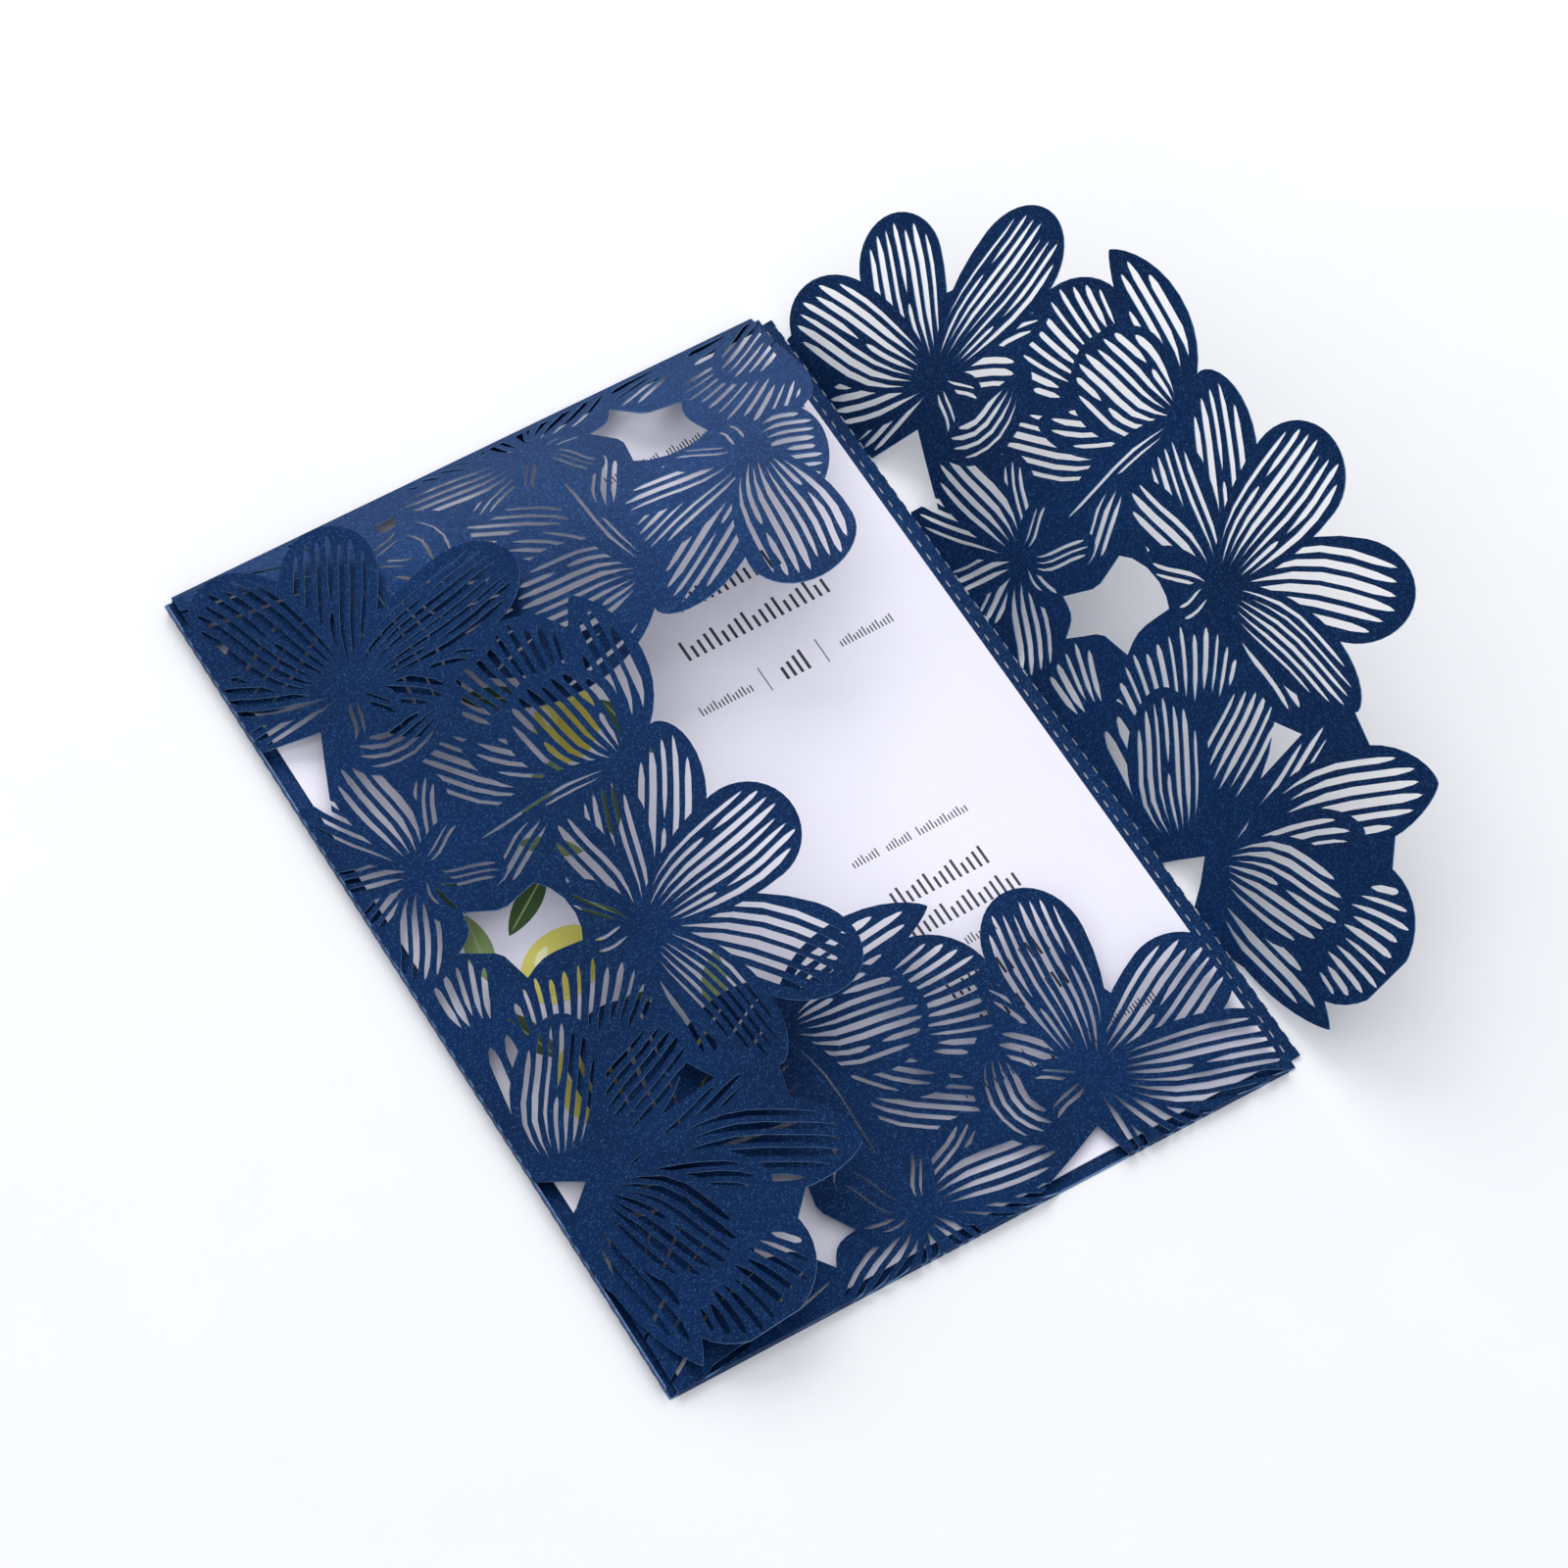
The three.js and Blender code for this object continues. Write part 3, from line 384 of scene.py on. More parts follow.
# %% Lay-out of the blank
def side_lay(sign):
    return lambda p, q: (sign * (SIDE_FOLD + p), q - HALF_HEIGHT)


def top_lay(p, q):
    return TOP_START - q - HALF_WIDTH, CROSS_FOLD + p - CROSS_TUCK


def bottom_lay(p, q):
    return q - BOTTOM_START - HALF_WIDTH, -(CROSS_FOLD + p - CROSS_TUCK)


def box(x0, y0, x1, y1):
    return [(x0, y0), (x1, y0), (x1, y1), (x0, y1)]


spine_end = HALF_HEIGHT - SPINE_END_GAP
flap_end = SIDE_FOLD + FLAP_REACH + 1
cross_end = CROSS_FOLD + FLAP_REACH + 1
REGIONS = [
    (box(-HALF_WIDTH, -HALF_HEIGHT, HALF_WIDTH, HALF_HEIGHT), None, None),
    (box(HALF_WIDTH, -spine_end, SIDE_FOLD, spine_end), None, None),
    (box(-SIDE_FOLD, -spine_end, -HALF_WIDTH, spine_end), None, None),
    (box(SIDE_FOLD, -HALF_HEIGHT, flap_end, HALF_HEIGHT), "side", side_lay(1)),
    (box(-flap_end, -HALF_HEIGHT, -SIDE_FOLD, HALF_HEIGHT), "side", side_lay(-1)),
    (box(-CROSS_SIDE, HALF_HEIGHT, CROSS_SIDE, cross_end), "top", top_lay),
    (box(-CROSS_SIDE, -cross_end, CROSS_SIDE, -HALF_HEIGHT), "bottom", bottom_lay),
]
print("areas on the blank:", len(REGIONS))

# %% Perforations
DASH = 1.7
DASH_PITCH = 3.4
DASH_HALF = 0.16


def perforations():
    dashes = []
    for line in (HALF_WIDTH, SIDE_FOLD):
        for sign in (1, -1):
            y = -spine_end + 2
            while y < spine_end - 2:
                dashes.append(box(sign * line - DASH_HALF, y, sign * line + DASH_HALF, y + DASH))
                y += DASH_PITCH
    return dashes


print("dashes cut along the side folds:", len(perforations()))

# %% Flat blank
GRID = 4.0


def inside(points, outline):
    """Which of the points lie inside the outline, by counting the edges to their right."""
    x, y = points[:, :1], points[:, 1:]
    a = np.array(outline)
    b = np.roll(a, -1, axis=0)
    rise = np.where(b[:, 1] == a[:, 1], 1e-12, b[:, 1] - a[:, 1])
    crosses = (a[:, 1] > y) != (b[:, 1] > y)
    left = x < a[:, 0] + (y - a[:, 1]) / rise * (b[:, 0] - a[:, 0])
    return (np.sum(crosses & left, axis=1) % 2) == 1


def covered(middles, outline):
    low, high = np.min(outline, axis=0), np.max(outline, axis=0)
    near = np.all((middles >= low) & (middles <= high), axis=1).nonzero()[0]
    return near[inside(middles[near], outline)] if len(near) else near


def cut_blank():
    laid = []
    for area, kind, lay in REGIONS:
        steps = drawing(kind) if kind else []
        laid.append((area, [(card, [lay(p, q) for p, q in line]) for card, line in steps]))
    dashes = perforations()
    outlines = [area for area, _ in laid] + [line for _, steps in laid for _, line in steps]
    outlines += [[(-HALF_WIDTH, y), (HALF_WIDTH, y)] for y in (CROSS_FOLD, -CROSS_FOLD)]
    outlines += dashes
    points, edges = [], []
    for line in outlines:
        first = len(points)
        points += [Vector(point) for point in line]
        closed = len(line) if len(line) > 2 else 1
        edges += [(first + i, first + (i + 1) % len(line)) for i in range(closed)]
    across = int(flap_end / GRID)
    up = int(cross_end / GRID)
    points += [Vector(((i + 0.37) * GRID, (j + 0.41) * GRID))
               for i in range(-across, across) for j in range(-up, up)]
    found = delaunay_2d_cdt(points, edges, [], 0, 1e-4, False)
    flat = np.array([tuple(point) for point in found[0]])
    triangles = np.array([face for face in found[2] if len(face) == 3])
    middles = flat[triangles].mean(axis=1)
    is_card = np.zeros(len(triangles), bool)
    for area, steps in laid:
        here = covered(middles, area)
        if not steps:
            is_card[here] = True
            continue
        state = np.zeros(len(triangles), bool)
        for card, line in steps:
            state[covered(middles, line)] = card
        is_card[here] = state[here]
    for dash in dashes:
        is_card[covered(middles, dash)] = False
    return flat, triangles[is_card]


flat_points, sheet = cut_blank()
print("blank as cut:", len(sheet), "triangles")

# %% One piece of card
def largest_piece(triangles):
    """Only the triangles joined to each other edge by edge; loose crumbs fall out."""
    owner = {}
    neighbours = [[] for _ in triangles]
    for number, face in enumerate(triangles.tolist()):
        for k in range(3):
            edge = tuple(sorted((face[k], face[(k + 1) % 3])))
            if edge in owner:
                neighbours[number].append(owner[edge])
                neighbours[owner[edge]].append(number)
            owner[edge] = number
    label = np.full(len(triangles), -1)
    best = (0, 0)
    for seed in range(len(triangles)):
        if label[seed] >= 0:
            continue
        label[seed] = seed
        stack, size = [seed], 0
        while stack:
            size += 1
            for other in neighbours[stack.pop()]:
                if label[other] < 0:
                    label[other] = seed
                    stack.append(other)
        best = max(best, (size, seed))
    return triangles[label == best[1]]


sheet = largest_piece(sheet)
used = np.unique(sheet)
renumber = np.full(len(flat_points), -1)
renumber[used] = np.arange(len(used))
flat_points, sheet = flat_points[used], renumber[sheet]
print("flat blank:", len(flat_points), "points,", len(sheet), "triangles")

# %% [markdown]
# ## Folding the blank
# Each zone of the sheet has its own rule from the flat place to the folded one. The side flaps
# turn about their score lines. The top and bottom flaps are pinned at their left end by the left
# flap and spring up towards the right, so their height blends two slopes.
# The sheet gets its thickness along its own normals, and along the mitre at a fold.

# %% Folding rules
def turned(start, outward, distance, angle):
    up = np.zeros_like(start)
    up[:, 2] = 1
    along, rise = distance * np.cos(angle), distance * np.sin(angle)
    return start + outward * along[:, None] + up * rise[:, None]


def panel_place(flat):
    return np.column_stack([flat, np.zeros(len(flat))])


def side_places(sign, spine_angle, flap_angle):
    outward = np.array([sign, 0.0, 0.0])

    def spine(flat):
        start = np.column_stack([np.full(len(flat), sign * HALF_WIDTH), flat[:, 1], np.zeros(len(flat))])
        return turned(start, outward, sign * flat[:, 0] - HALF_WIDTH, np.full(len(flat), spine_angle))

    def flap(flat):
        line = np.column_stack([np.full(len(flat), sign * SIDE_FOLD), flat[:, 1]])
        return turned(spine(line), outward, sign * flat[:, 0] - SIDE_FOLD, np.full(len(flat), flap_angle))

    return spine, flap


def cross_places(sign, lift):
    outward = np.array([0.0, sign, 0.0])
    held_slope = HELD_SHARE * math.tan(math.radians(LEFT_FLAP_LIFT))
    free_slope = math.tan(math.radians(lift))

    def spine(flat):
        start = np.column_stack([flat[:, 0], np.full(len(flat), sign * HALF_HEIGHT), np.zeros(len(flat))])
        return turned(start, outward, sign * flat[:, 1] - HALF_HEIGHT, np.full(len(flat), math.pi / 2))

    def flap(flat):
        line = np.column_stack([flat[:, 0], np.full(len(flat), sign * CROSS_FOLD)])
        distance = sign * flat[:, 1] - CROSS_FOLD
        held = held_slope * np.maximum(flat[:, 0] + HALF_WIDTH, THICKNESS)
        free = free_slope * np.maximum(np.abs(distance), THICKNESS)
        height = (held ** -LIFT_BLEND + free ** -LIFT_BLEND) ** (-1 / LIFT_BLEND)
        slope = free_slope * height / free
        return turned(spine(line), outward, distance, math.pi - np.arctan(slope))

    return spine, flap


right = side_places(1, math.radians(RIGHT_SPINE_RISE), math.radians(RIGHT_FLAP_RISE))
left = side_places(-1, math.radians(90), math.radians(180 - LEFT_FLAP_LIFT))
top = cross_places(1, TOP_FLAP_LIFT)
bottom = cross_places(-1, BOTTOM_FLAP_LIFT)
print("a point 10 mm out on the open flap:", right[1](np.array([[SIDE_FOLD + 10, 0.0]])).round(2))

# %% Zones of the sheet
ZONES = [
    (box(-HALF_WIDTH, -HALF_HEIGHT, HALF_WIDTH, HALF_HEIGHT), panel_place),
    (box(HALF_WIDTH, -HALF_HEIGHT, SIDE_FOLD, HALF_HEIGHT), right[0]),
    (box(SIDE_FOLD, -HALF_HEIGHT, flap_end, HALF_HEIGHT), right[1]),
    (box(-SIDE_FOLD, -HALF_HEIGHT, -HALF_WIDTH, HALF_HEIGHT), left[0]),
    (box(-flap_end, -HALF_HEIGHT, -SIDE_FOLD, HALF_HEIGHT), left[1]),
    (box(-HALF_WIDTH, HALF_HEIGHT, HALF_WIDTH, CROSS_FOLD), top[0]),
    (box(-HALF_WIDTH, CROSS_FOLD, HALF_WIDTH, cross_end), top[1]),
    (box(-HALF_WIDTH, -CROSS_FOLD, HALF_WIDTH, -HALF_HEIGHT), bottom[0]),
    (box(-HALF_WIDTH, -cross_end, HALF_WIDTH, -CROSS_FOLD), bottom[1]),
]
ON_LINE = 1e-3


def zone_normals(place, flat):
    step = 0.01
    east = place(flat + [step, 0]) - place(flat - [step, 0])
    north = place(flat + [0, step]) - place(flat - [0, step])
    normal = np.cross(east, north)
    return normal / np.linalg.norm(normal, axis=1)[:, None]


def fold_sheet(flat):
    """The middle of the folded sheet, and the step from there to its inner face."""
    middle = np.zeros((len(flat), 3))
    total = np.zeros((len(flat), 3))
    first = np.zeros((len(flat), 3))
    second = np.zeros((len(flat), 3))
    seen = np.zeros(len(flat), int)
    for area, place in ZONES:
        low, high = np.array(area[0]) - ON_LINE, np.array(area[2]) + ON_LINE
        here = np.all((flat >= low) & (flat <= high), axis=1).nonzero()[0]
        normals = zone_normals(place, flat[here])
        new = here[seen[here] == 0]
        middle[new] = place(flat[new])
        again = seen[here] == 1
        first[new] = normals[seen[here] == 0]
        second[here[again]] = normals[again]
        total[here] += normals
        seen[here] += 1
    two = seen > 1
    reach = np.ones(len(flat))
    reach[two] = 1 + np.sum(first[two] * second[two], axis=1)
    total[two] = first[two] + second[two]
    return middle + [0, 0, THICKNESS / 2], total / reach[:, None] * THICKNESS / 2


middle, offset = fold_sheet(flat_points)
print("sheet folded, highest place, mm:", middle[:, 2].max().round(1))

# %% Thickness of the sheet
def closed_sheet(middle, offset, triangles):
    """Inner face, outer face and the walls round every cut."""
    count = len(middle)
    corners = np.vstack([middle + offset, middle - offset])
    ring = np.vstack([triangles[:, [k, (k + 1) % 3]] for k in range(3)])
    keys = ring[:, 0].astype(np.int64) * count + ring[:, 1]
    back = ring[:, 1].astype(np.int64) * count + ring[:, 0]
    rim = ring[~np.isin(keys, back)]
    walls = np.column_stack([rim[:, 0], rim[:, 0] + count, rim[:, 1] + count, rim[:, 1]])
    return corners, triangles, triangles[:, ::-1] + count, walls


corners, inner, outer, walls = closed_sheet(middle, offset, sheet)
print("folded sheet, mm:", corners.min(0).round(1), corners.max(0).round(1))
print("triangles:", len(inner) + len(outer) + 2 * len(walls))

# %% [markdown]
# ## The sheet as an object
# Faces and cut walls get their own materials, because a laser leaves the wall of a cut darker or
# paler than the coated face. Edges sharper than a few degrees stay crisp, so a score line shows
# as a line, while the slow curve of a flap stays smooth.

# %% Cover object
def new_object(name, points, faces, materials, indices=None):
    mesh = bpy.data.meshes.new(name)
    mesh.from_pydata([tuple(p) for p in points], [], faces)
    for material in materials:
        mesh.materials.append(material)
    if indices is not None:
        mesh.polygons.foreach_set("material_index", indices)
    mesh.polygons.foreach_set("use_smooth", [True] * len(mesh.polygons))
    mesh.update()
    mesh.set_sharp_from_angle(angle=math.radians(7))
    made = bpy.data.objects.new(name, mesh)
    bpy.context.scene.collection.objects.link(made)
    return made


pearl = bpy.data.materials.new("pearl_card_face")
cut_edge = bpy.data.materials.new("pearl_card_cut_edge")
faces = inner.tolist() + outer.tolist() + walls.tolist()
indices = [0] * (len(inner) + len(outer)) + [1] * len(walls)
cover = new_object("lace_cover", corners * MM, faces, [pearl, cut_edge], indices)
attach(cover, "root")
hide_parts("cover")
print("cover faces:", len(cover.data.polygons))

# %% [markdown]
# ## Pearl card
# Pearl card is dyed paper under a thin layer of mica. From most angles it is deep navy; towards
# the light it turns a brighter, milky blue, and tiny flakes sparkle. A shared group of nodes makes
# the patterns: a fine flake mask, slow cloudiness and paper fibres. The material turns them into
# colour, roughness and a fine relief. The milky blue is a painted sheen: the colour is mixed
# towards it where the face is seen at a glancing angle, wherever the lamps stand.

# %% Node helpers
class Nodes:
    """A few short words for building node trees."""

    def __init__(self, tree):
        self.tree = tree
        tree.nodes.clear()

    def add(self, kind, **settings):
        node = self.tree.nodes.new(kind)
        for key, value in settings.items():
            if key.startswith("in_"):
                node.inputs[key[3:].replace("_", " ")].default_value = value
            else:
                setattr(node, key, value)
        return node

    def link(self, source, target):
        self.tree.links.new(source, target)

    def noise(self, place, scale, detail=2.0, roughness=0.5):
        node = self.add("ShaderNodeTexNoise", in_Scale=scale, in_Detail=detail, in_Roughness=roughness)
        self.link(place, node.inputs["Vector"])
        return node.outputs["Fac"]

    def spread(self, value, low, high, to_low, to_high):
        node = self.add("ShaderNodeMapRange")
        node.inputs["From Min"].default_value = low
        node.inputs["From Max"].default_value = high
        node.inputs["To Min"].default_value = to_low
        node.inputs["To Max"].default_value = to_high
        self.link(value, node.inputs["Value"])
        return node.outputs["Result"]

    def mix(self, factor, first, second):
        node = self.add("ShaderNodeMix", data_type="RGBA")
        for value, socket in ((first, node.inputs[6]), (second, node.inputs[7])):
            if isinstance(value, tuple):
                socket.default_value = (*value, 1)
            else:
                self.link(value, socket)
        self.link(factor, node.inputs[0])
        return node.outputs[2]

    def calc(self, operation, first, second):
        node = self.add("ShaderNodeMath", operation=operation)
        for value, socket in ((first, node.inputs[0]), (second, node.inputs[1])):
            if isinstance(value, (int, float)):
                socket.default_value = value
            else:
                self.link(value, socket)
        return node.outputs[0]


def group(name, outputs):
    tree = bpy.data.node_groups.new(name, "ShaderNodeTree")
    for title in outputs:
        tree.interface.new_socket(title, in_out="OUTPUT", socket_type="NodeSocketFloat")
    return tree


def linear(red, green, blue):
    """A colour as the eye names it, 0 to 255, turned into the light values that nodes use."""
    shares = [v / 255 for v in (red, green, blue)]
    return tuple(((v + 0.055) / 1.055) ** 2.4 if v > 0.04 else v / 12.92 for v in shares)


print("middle grey as light:", linear(128, 128, 128))

# %% Shared paper marks
paper_marks = group("paper_marks", ["Flakes", "Clouds", "Fibre", "Grain"])
n = Nodes(paper_marks)
place = n.add("ShaderNodeTexCoord").outputs["Object"]
cells = n.add("ShaderNodeTexVoronoi", in_Scale=5200.0)
n.link(place, cells.inputs["Vector"])
flake_pick = n.add("ShaderNodeSeparateColor")
n.link(cells.outputs["Color"], flake_pick.inputs[0])
out = n.add("NodeGroupOutput")
n.link(n.spread(flake_pick.outputs[0], 0.8, 1.0, 0.0, 1.0), out.inputs["Flakes"])
n.link(n.noise(place, 38.0, 3.0), out.inputs["Clouds"])
stretched = n.add("ShaderNodeMapping", in_Scale=(1.0, 3.2, 1.0))
n.link(place, stretched.inputs["Vector"])
n.link(n.noise(stretched.outputs[0], 620.0, 4.0, 0.6), out.inputs["Fibre"])
n.link(n.noise(place, 2600.0, 2.0, 0.6), out.inputs["Grain"])


def marks(n):
    node = n.add("ShaderNodeGroup")
    node.node_tree = paper_marks
    return node.outputs


def paper(material, build):
    """A Principled material on the shared paper marks; build sets its colour and finish."""
    material.use_nodes = True
    n = Nodes(material.node_tree)
    skin = n.add("ShaderNodeBsdfPrincipled")
    out = n.add("ShaderNodeOutputMaterial")
    n.link(skin.outputs[0], out.inputs[0])
    build(n, skin, marks(n))


def relief(n, skin, height, distance, strength):
    bump = n.add("ShaderNodeBump", in_Strength=strength, in_Distance=distance)
    n.link(height, bump.inputs["Height"])
    n.link(bump.outputs[0], skin.inputs["Normal"])


print("group of marks:", paper_marks.name)

# %% Pearl material
NAVY = linear(4, 40, 83)
NAVY_DEEP = linear(3, 32, 69)
# Milky blue of the painted sheen, mixed in where the card is seen at a glancing angle
SHEEN_BLUE = linear(38, 88, 158)
FLAKE = linear(92, 142, 204)


def pearl_finish(n, skin, mark):
    facing = n.add("ShaderNodeLayerWeight", in_Blend=0.32).outputs["Facing"]
    ground = n.mix(n.spread(mark["Clouds"], 0.3, 0.7, 0.0, 1.0), NAVY_DEEP, NAVY)
    # Painted sheen: the colour turns milky blue where the face is seen at a glancing angle
    painted_sheen = n.mix(n.spread(facing, 0.15, 0.95, 0.0, 0.3), ground, SHEEN_BLUE)
    n.link(n.mix(n.spread(mark["Flakes"], 0.0, 1.0, 0.0, 0.22), painted_sheen, FLAKE), skin.inputs["Base Color"])
    skin.inputs["Metallic"].default_value = 0.55
    skin.inputs["Specular IOR Level"].default_value = 0.14
    n.link(n.spread(mark["Fibre"], 0.2, 0.8, 0.42, 0.58), skin.inputs["Roughness"])
    relief(n, skin, n.calc("ADD", mark["Fibre"], mark["Grain"]), 0.00003, 0.5)


def edge_finish(n, skin, mark):
    n.link(n.mix(mark["Fibre"], linear(24, 60, 110), linear(120, 160, 205)), skin.inputs["Base Color"])
    skin.inputs["Roughness"].default_value = 0.85
    relief(n, skin, mark["Grain"], 0.00004, 0.6)


paper(pearl, pearl_finish)
paper(cut_edge, edge_finish)
print("materials:", pearl.name, cut_edge.name)

# %% [markdown]
# ## The printed card
# The inner card is smooth white stock with a faint lilac cast. It keeps the plain model's shape,
# because a flat card with crisp corners needs no more, and gets a finer skin: fibres, slight
# cloudiness and a soft sheen. Its print lies on it as very thin fields of ink: upright strokes
# where words would stand, fine rules, and a sprig of yellow fruit with leaves.

# %% Printed card
card_skin = bpy.data.materials.new("printed_card_face")


def card_finish(n, skin, mark):
    n.link(n.mix(mark["Clouds"], linear(236, 233, 247), linear(246, 243, 254)), skin.inputs["Base Color"])
    n.link(n.spread(mark["Fibre"], 0.2, 0.8, 0.55, 0.7), skin.inputs["Roughness"])
    skin.inputs["Sheen Weight"].default_value = 0.1
    skin.inputs["Sheen Roughness"].default_value = 0.5
    relief(n, skin, n.calc("ADD", mark["Fibre"], mark["Grain"]), 0.00002, 0.35)


paper(card_skin, card_finish)
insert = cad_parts["insert_card"]
insert.data.materials.clear()
insert.data.materials.append(card_skin)
card_top = insert_high.z / MM
print("printed card, top at mm:", round(card_top, 2))

# %% Print on the card
INK_HEIGHT = 0.02


def ink(name, dark, light):
    material = bpy.data.materials.new(name)

    def finish(n, skin, mark):
        n.link(n.mix(mark["Clouds"], linear(*dark), linear(*light)), skin.inputs["Base Color"])
        n.link(n.spread(mark["Grain"], 0.2, 0.8, 0.5, 0.65), skin.inputs["Roughness"])
        relief(n, skin, mark["Grain"], 0.00001, 0.3)

    paper(material, finish)
    return material


def printed(name, outlines, material, level):
    """Closed plates of ink over outlines drawn anticlockwise, one level above another."""
    points, faces = [], []
    low = card_top + level * INK_HEIGHT - 0.01
    for line in outlines:
        first, count = len(points), len(line)
        points += [(x, y, z) for z in (low, low + INK_HEIGHT) for x, y in line]
        faces.append([first + count + i for i in range(count)])
        faces.append([first + i for i in range(count)][::-1])
        faces += [[first + i, first + (i + 1) % count, first + count + (i + 1) % count,
                   first + count + i] for i in range(count)]
    made = new_object(name, np.array(points) * MM, faces, [material])
    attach(made, "root")
    return made


def strokes(x0, x1, y, height):
    """A word's place, filled with plain upright strokes of uneven height, from x0 to x1."""
    pitch = 0.36 * height
    count = max(2, round((x1 - x0) / pitch))
    line = []
    for i in range(count):
        x = x0 + (x1 - x0) * (i + 0.5) / count
        tall = height * (0.62 + 0.38 * ((i * 5 + count) % 4) / 3)
        line.append(box(x - 0.065 * height, y, x + 0.065 * height, y + tall))
    return line


TEXT = [
    (19.5, 24.5, 74, 1.9), (25.8, 31, 74, 1.9), (32.4, 44, 74, 1.9),
    (17, 40.5, 43, 4.4),
    (13, 43.5, 33.2, 4.4),
    (9.6, 20.6, 21.8, 2.0), (26.3, 32.2, 20.8, 4.6), (38.6, 49.8, 21.8, 2.0),
    (16.8, 22.4, -19.4, 1.9), (23.8, 29, -19.4, 1.9), (30.2, 40.6, -19.4, 1.9),
    (19, 38.6, -30.4, 4.0),
    (17, 41, -37.2, 4.0),
    (26, 32.4, -42.8, 1.9),
    (18, 40, -51, 4.0),
    (20, 38, -58.4, 4.0),
    (10, 20, -69, 1.9), (26.5, 32, -70, 4.0), (38, 49, -69, 1.9),
]
text = [stroke for x0, x1, y, height in TEXT for stroke in strokes(x0, x1, y, height)]
text += [box(x - 0.1, y, x + 0.1, y + 5.6) for x in (23.3, 35.2) for y in (20.2, -71)]
printed("print_strokes", text, ink("ink_dark", (30, 32, 44), (44, 46, 60)), 0)
print("strokes and rules:", len(text))

# %% [markdown]
# ## The sprig
# Yellow fruits with a darker side and a highlight, and loose leaves with a vein, each a simple
# field of colour, stand for the painted decoration. Fields overlap in levels, as passes of ink do.

# %% Sprig
def leaf(x, y, length, width, angle, fullness=0.8):
    turn = math.radians(angle)
    upper = [(length * (t - 0.5), width / 2 * math.sin(math.pi * t) ** fullness)
             for t in np.linspace(0, 1, 15)]
    points = [(px, -py) for px, py in upper] + upper[-2:0:-1]
    return [(x + px * math.cos(turn) - py * math.sin(turn),
             y + px * math.sin(turn) + py * math.cos(turn)) for px, py in points]


FRUIT = [
    (-12, 33, 17, 12, 60), (-37, -10, 18, 13, 25), (-44, -33, 18, 12.5, 75), (-25, -39, 15, 11, 140),
]
LEAVES = [
    (-36, 4, 15, 4.6, 35), (-25, -4, 17, 5, 120), (-20, 44, 14, 5, 150), (-3, 27, 15, 5, 100),
    (-49, -19, 15, 5, 110), (-33, -24, 15, 5, 10), (-32, -52, 16, 5, 60), (-14, 14, 13, 4, 70),
    (-47, 14, 13, 4, 95),
]
PALE_LEAVES = [
    (-48, 0, 15, 5, 80), (-22, 24, 14, 5, 30), (-50, -47, 14, 5, 120), (-16, -27, 14, 4.5, 60),
    (-27, 12, 12, 4, 140),
]
VEIN_SHARE = 0.08
leaves = [leaf(*row) for row in LEAVES]
pale_leaves = [leaf(*row) for row in PALE_LEAVES]
veins = [leaf(x, y, length * 0.86, width * VEIN_SHARE, angle, 0.4)
         for x, y, length, width, angle in LEAVES + PALE_LEAVES]
whole = [leaf(*row, 0.5) for row in FRUIT]
shade = [leaf(x + 1.1, y - 1.7, length * 0.72, width * 0.6, angle, 0.5)
         for x, y, length, width, angle in FRUIT]
shine = [leaf(x - 2.4, y + 3.1, length * 0.26, width * 0.13, angle + 12, 0.6)
         for x, y, length, width, angle in FRUIT]
printed("print_leaves", leaves, ink("ink_green", (44, 74, 34), (66, 98, 46)), 0)
printed("print_pale_leaves", pale_leaves, ink("ink_pale_green", (118, 142, 84), (146, 168, 108)), 1)
printed("print_veins", veins, ink("ink_vein", (150, 170, 110), (170, 188, 130)), 2)
printed("print_fruit", whole, ink("ink_yellow", (218, 208, 92), (232, 222, 112)), 3)
printed("print_fruit_shade", shade, ink("ink_deep_yellow", (204, 190, 64), (218, 204, 82)), 4)
printed("print_fruit_shine", shine, ink("ink_pale_yellow", (242, 238, 180), (248, 244, 200)), 5)
print("print pieces laid on the card at", round(card_top, 2), "mm")
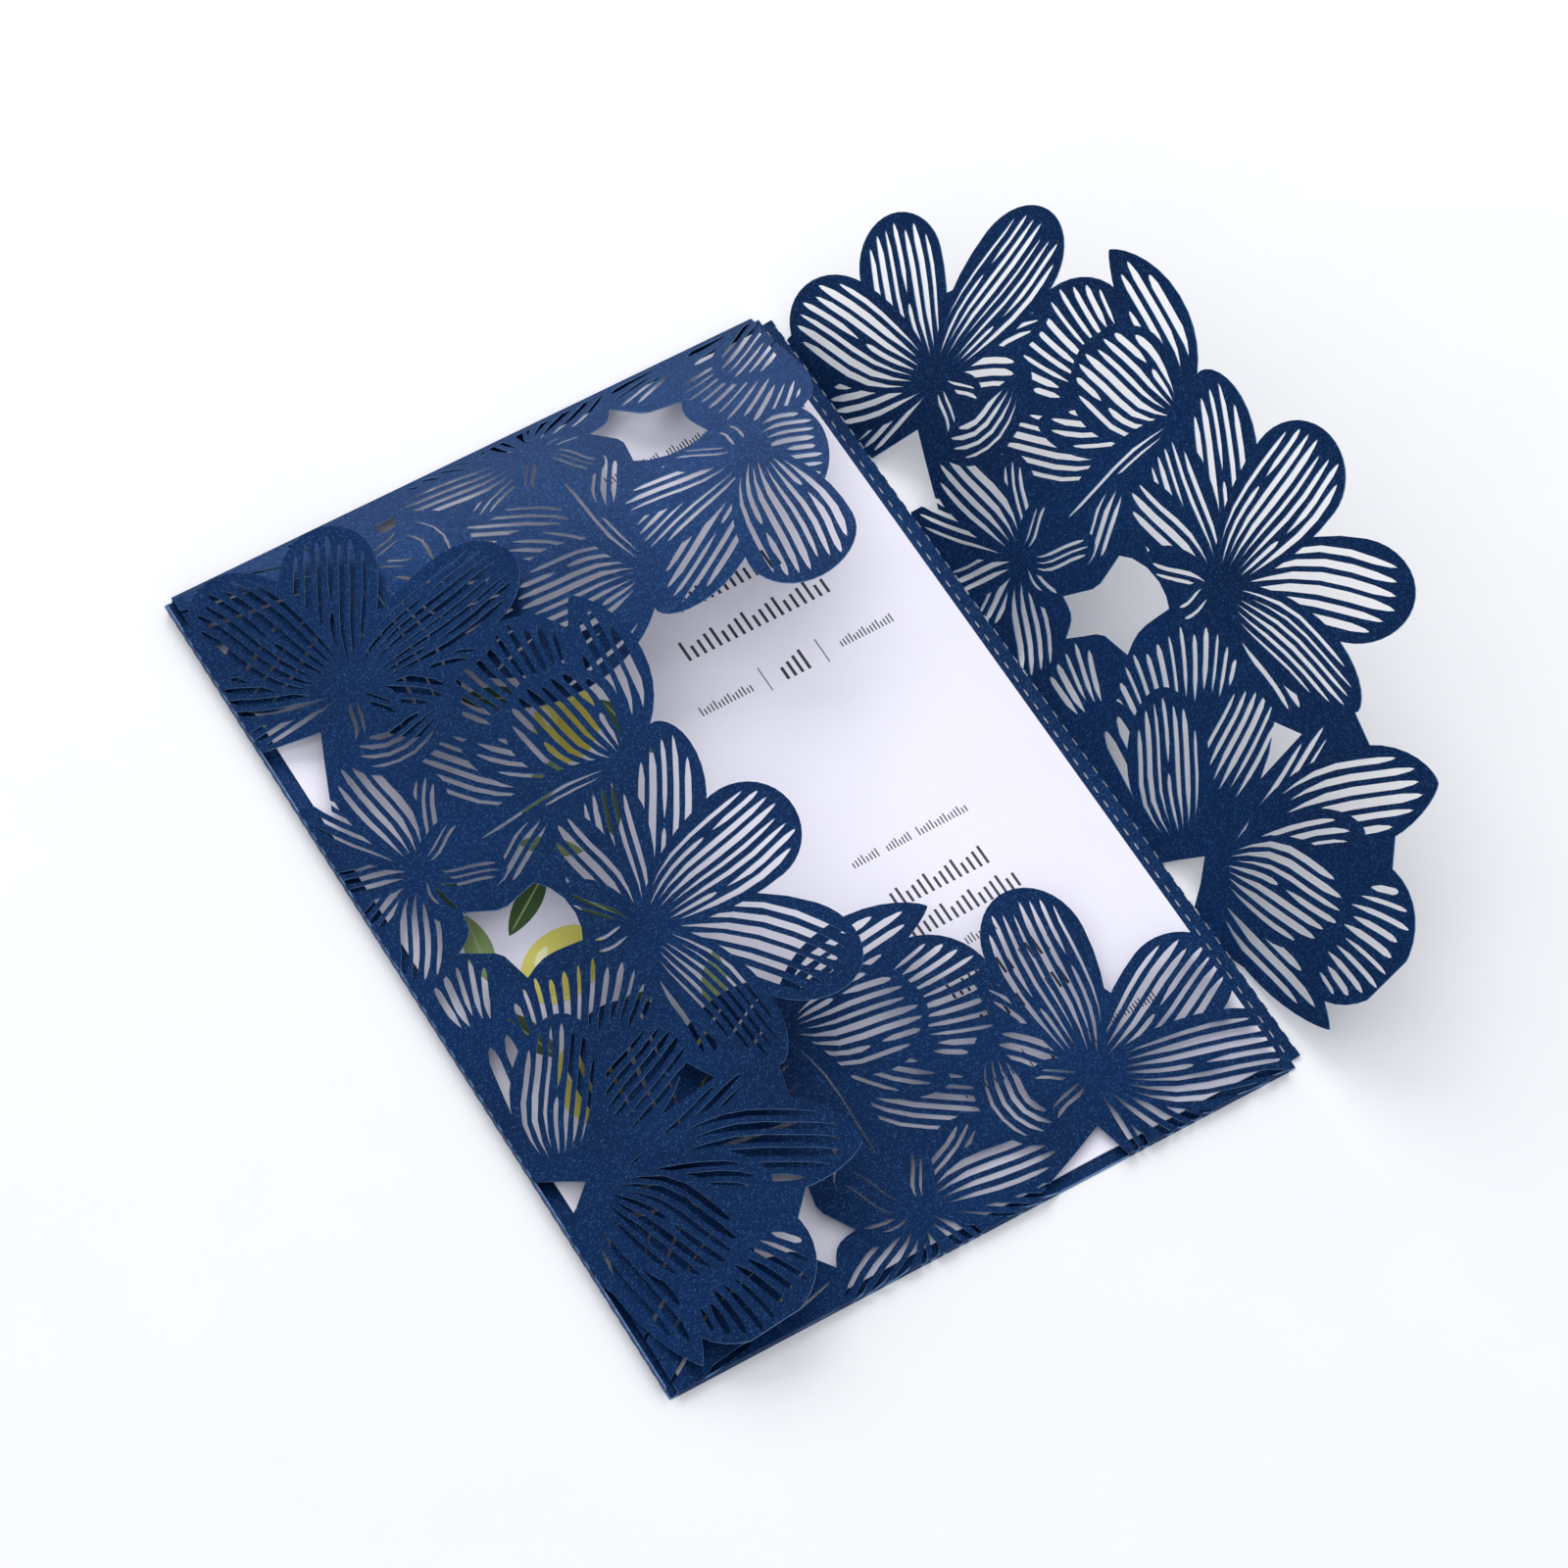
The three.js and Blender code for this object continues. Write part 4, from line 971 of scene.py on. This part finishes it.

# %% [markdown]
# ## Table, light and camera
# The card lies on a white table under even daylight. One large lamp, behind the card and a little
# to the right, gives the soft shadow and, together with the card's painted sheen, the milky light on
# the top flap. A weak one from the front left keeps the open flap from going black. The table is a
# plain white sheet that keeps the shadow, and the long lens stands where the photographer stood.

# %% Table
bpy.ops.mesh.primitive_plane_add(size=8, location=(0, 0, -0.00005))
floor = bpy.context.active_object
floor.name = "table"
table_skin = bpy.data.materials.new("table_white")


def table_finish(n, skin, mark):
    n.link(n.mix(mark["Clouds"], (0.86, 0.86, 0.87), (0.89, 0.89, 0.9)), skin.inputs["Base Color"])
    skin.inputs["Roughness"].default_value = 0.8


paper(table_skin, table_finish)
floor.data.materials.append(table_skin)
print("table:", floor.name)

# %% Lamps
def lamp(name, place, aim, size, power, colour):
    data = bpy.data.lights.new(name, "AREA")
    data.shape = "RECTANGLE"
    data.size, data.size_y = size
    data.energy = power
    data.color = colour
    made = bpy.data.objects.new(name, data)
    made.location = place
    made.rotation_mode = "QUATERNION"
    made.rotation_quaternion = (Vector(aim) - Vector(place)).to_track_quat("-Z", "Y")
    bpy.context.scene.collection.objects.link(made)
    return made


lamp("window", (0.55, 1.5, 1.15), (0, 0, 0), (1.6, 1.3), 23.0, (1.0, 0.99, 0.97))
lamp("fill", (-0.9, -0.6, 1.6), (0, 0, 0), (1.4, 1.2), 2.5, (0.95, 0.97, 1.0))

world = bpy.data.worlds.new("daylight")
bpy.context.scene.world = world
world.use_nodes = True
sky_nodes = Nodes(world.node_tree)
sky = sky_nodes.add("ShaderNodeBackground", in_Color=(0.93, 0.95, 1.0, 1), in_Strength=0.83)
sky_out = sky_nodes.add("ShaderNodeOutputWorld")
sky_nodes.link(sky.outputs[0], sky_out.inputs[0])
print("lamps and table are in place")

# %% Camera
camera_data = bpy.data.cameras.new("camera")
camera_data.sensor_width = 36
camera_data.lens = 143.7
camera_data.clip_start = 0.05
camera_data.clip_end = 20
camera = bpy.data.objects.new("camera", camera_data)
camera.location = (-0.26691, -0.50746, 0.94940)
aim = Vector((0.01526, 0.00248, 0.0)) - camera.location
camera.rotation_mode = "QUATERNION"
camera.rotation_quaternion = aim.to_track_quat("-Z", "Y") @ Quaternion((0, 0, 1), math.radians(-1.51))
bpy.context.scene.collection.objects.link(camera)
bpy.context.scene.camera = camera
bpy.context.scene.view_settings.view_transform = "Standard"
print("camera lens, mm:", camera_data.lens)
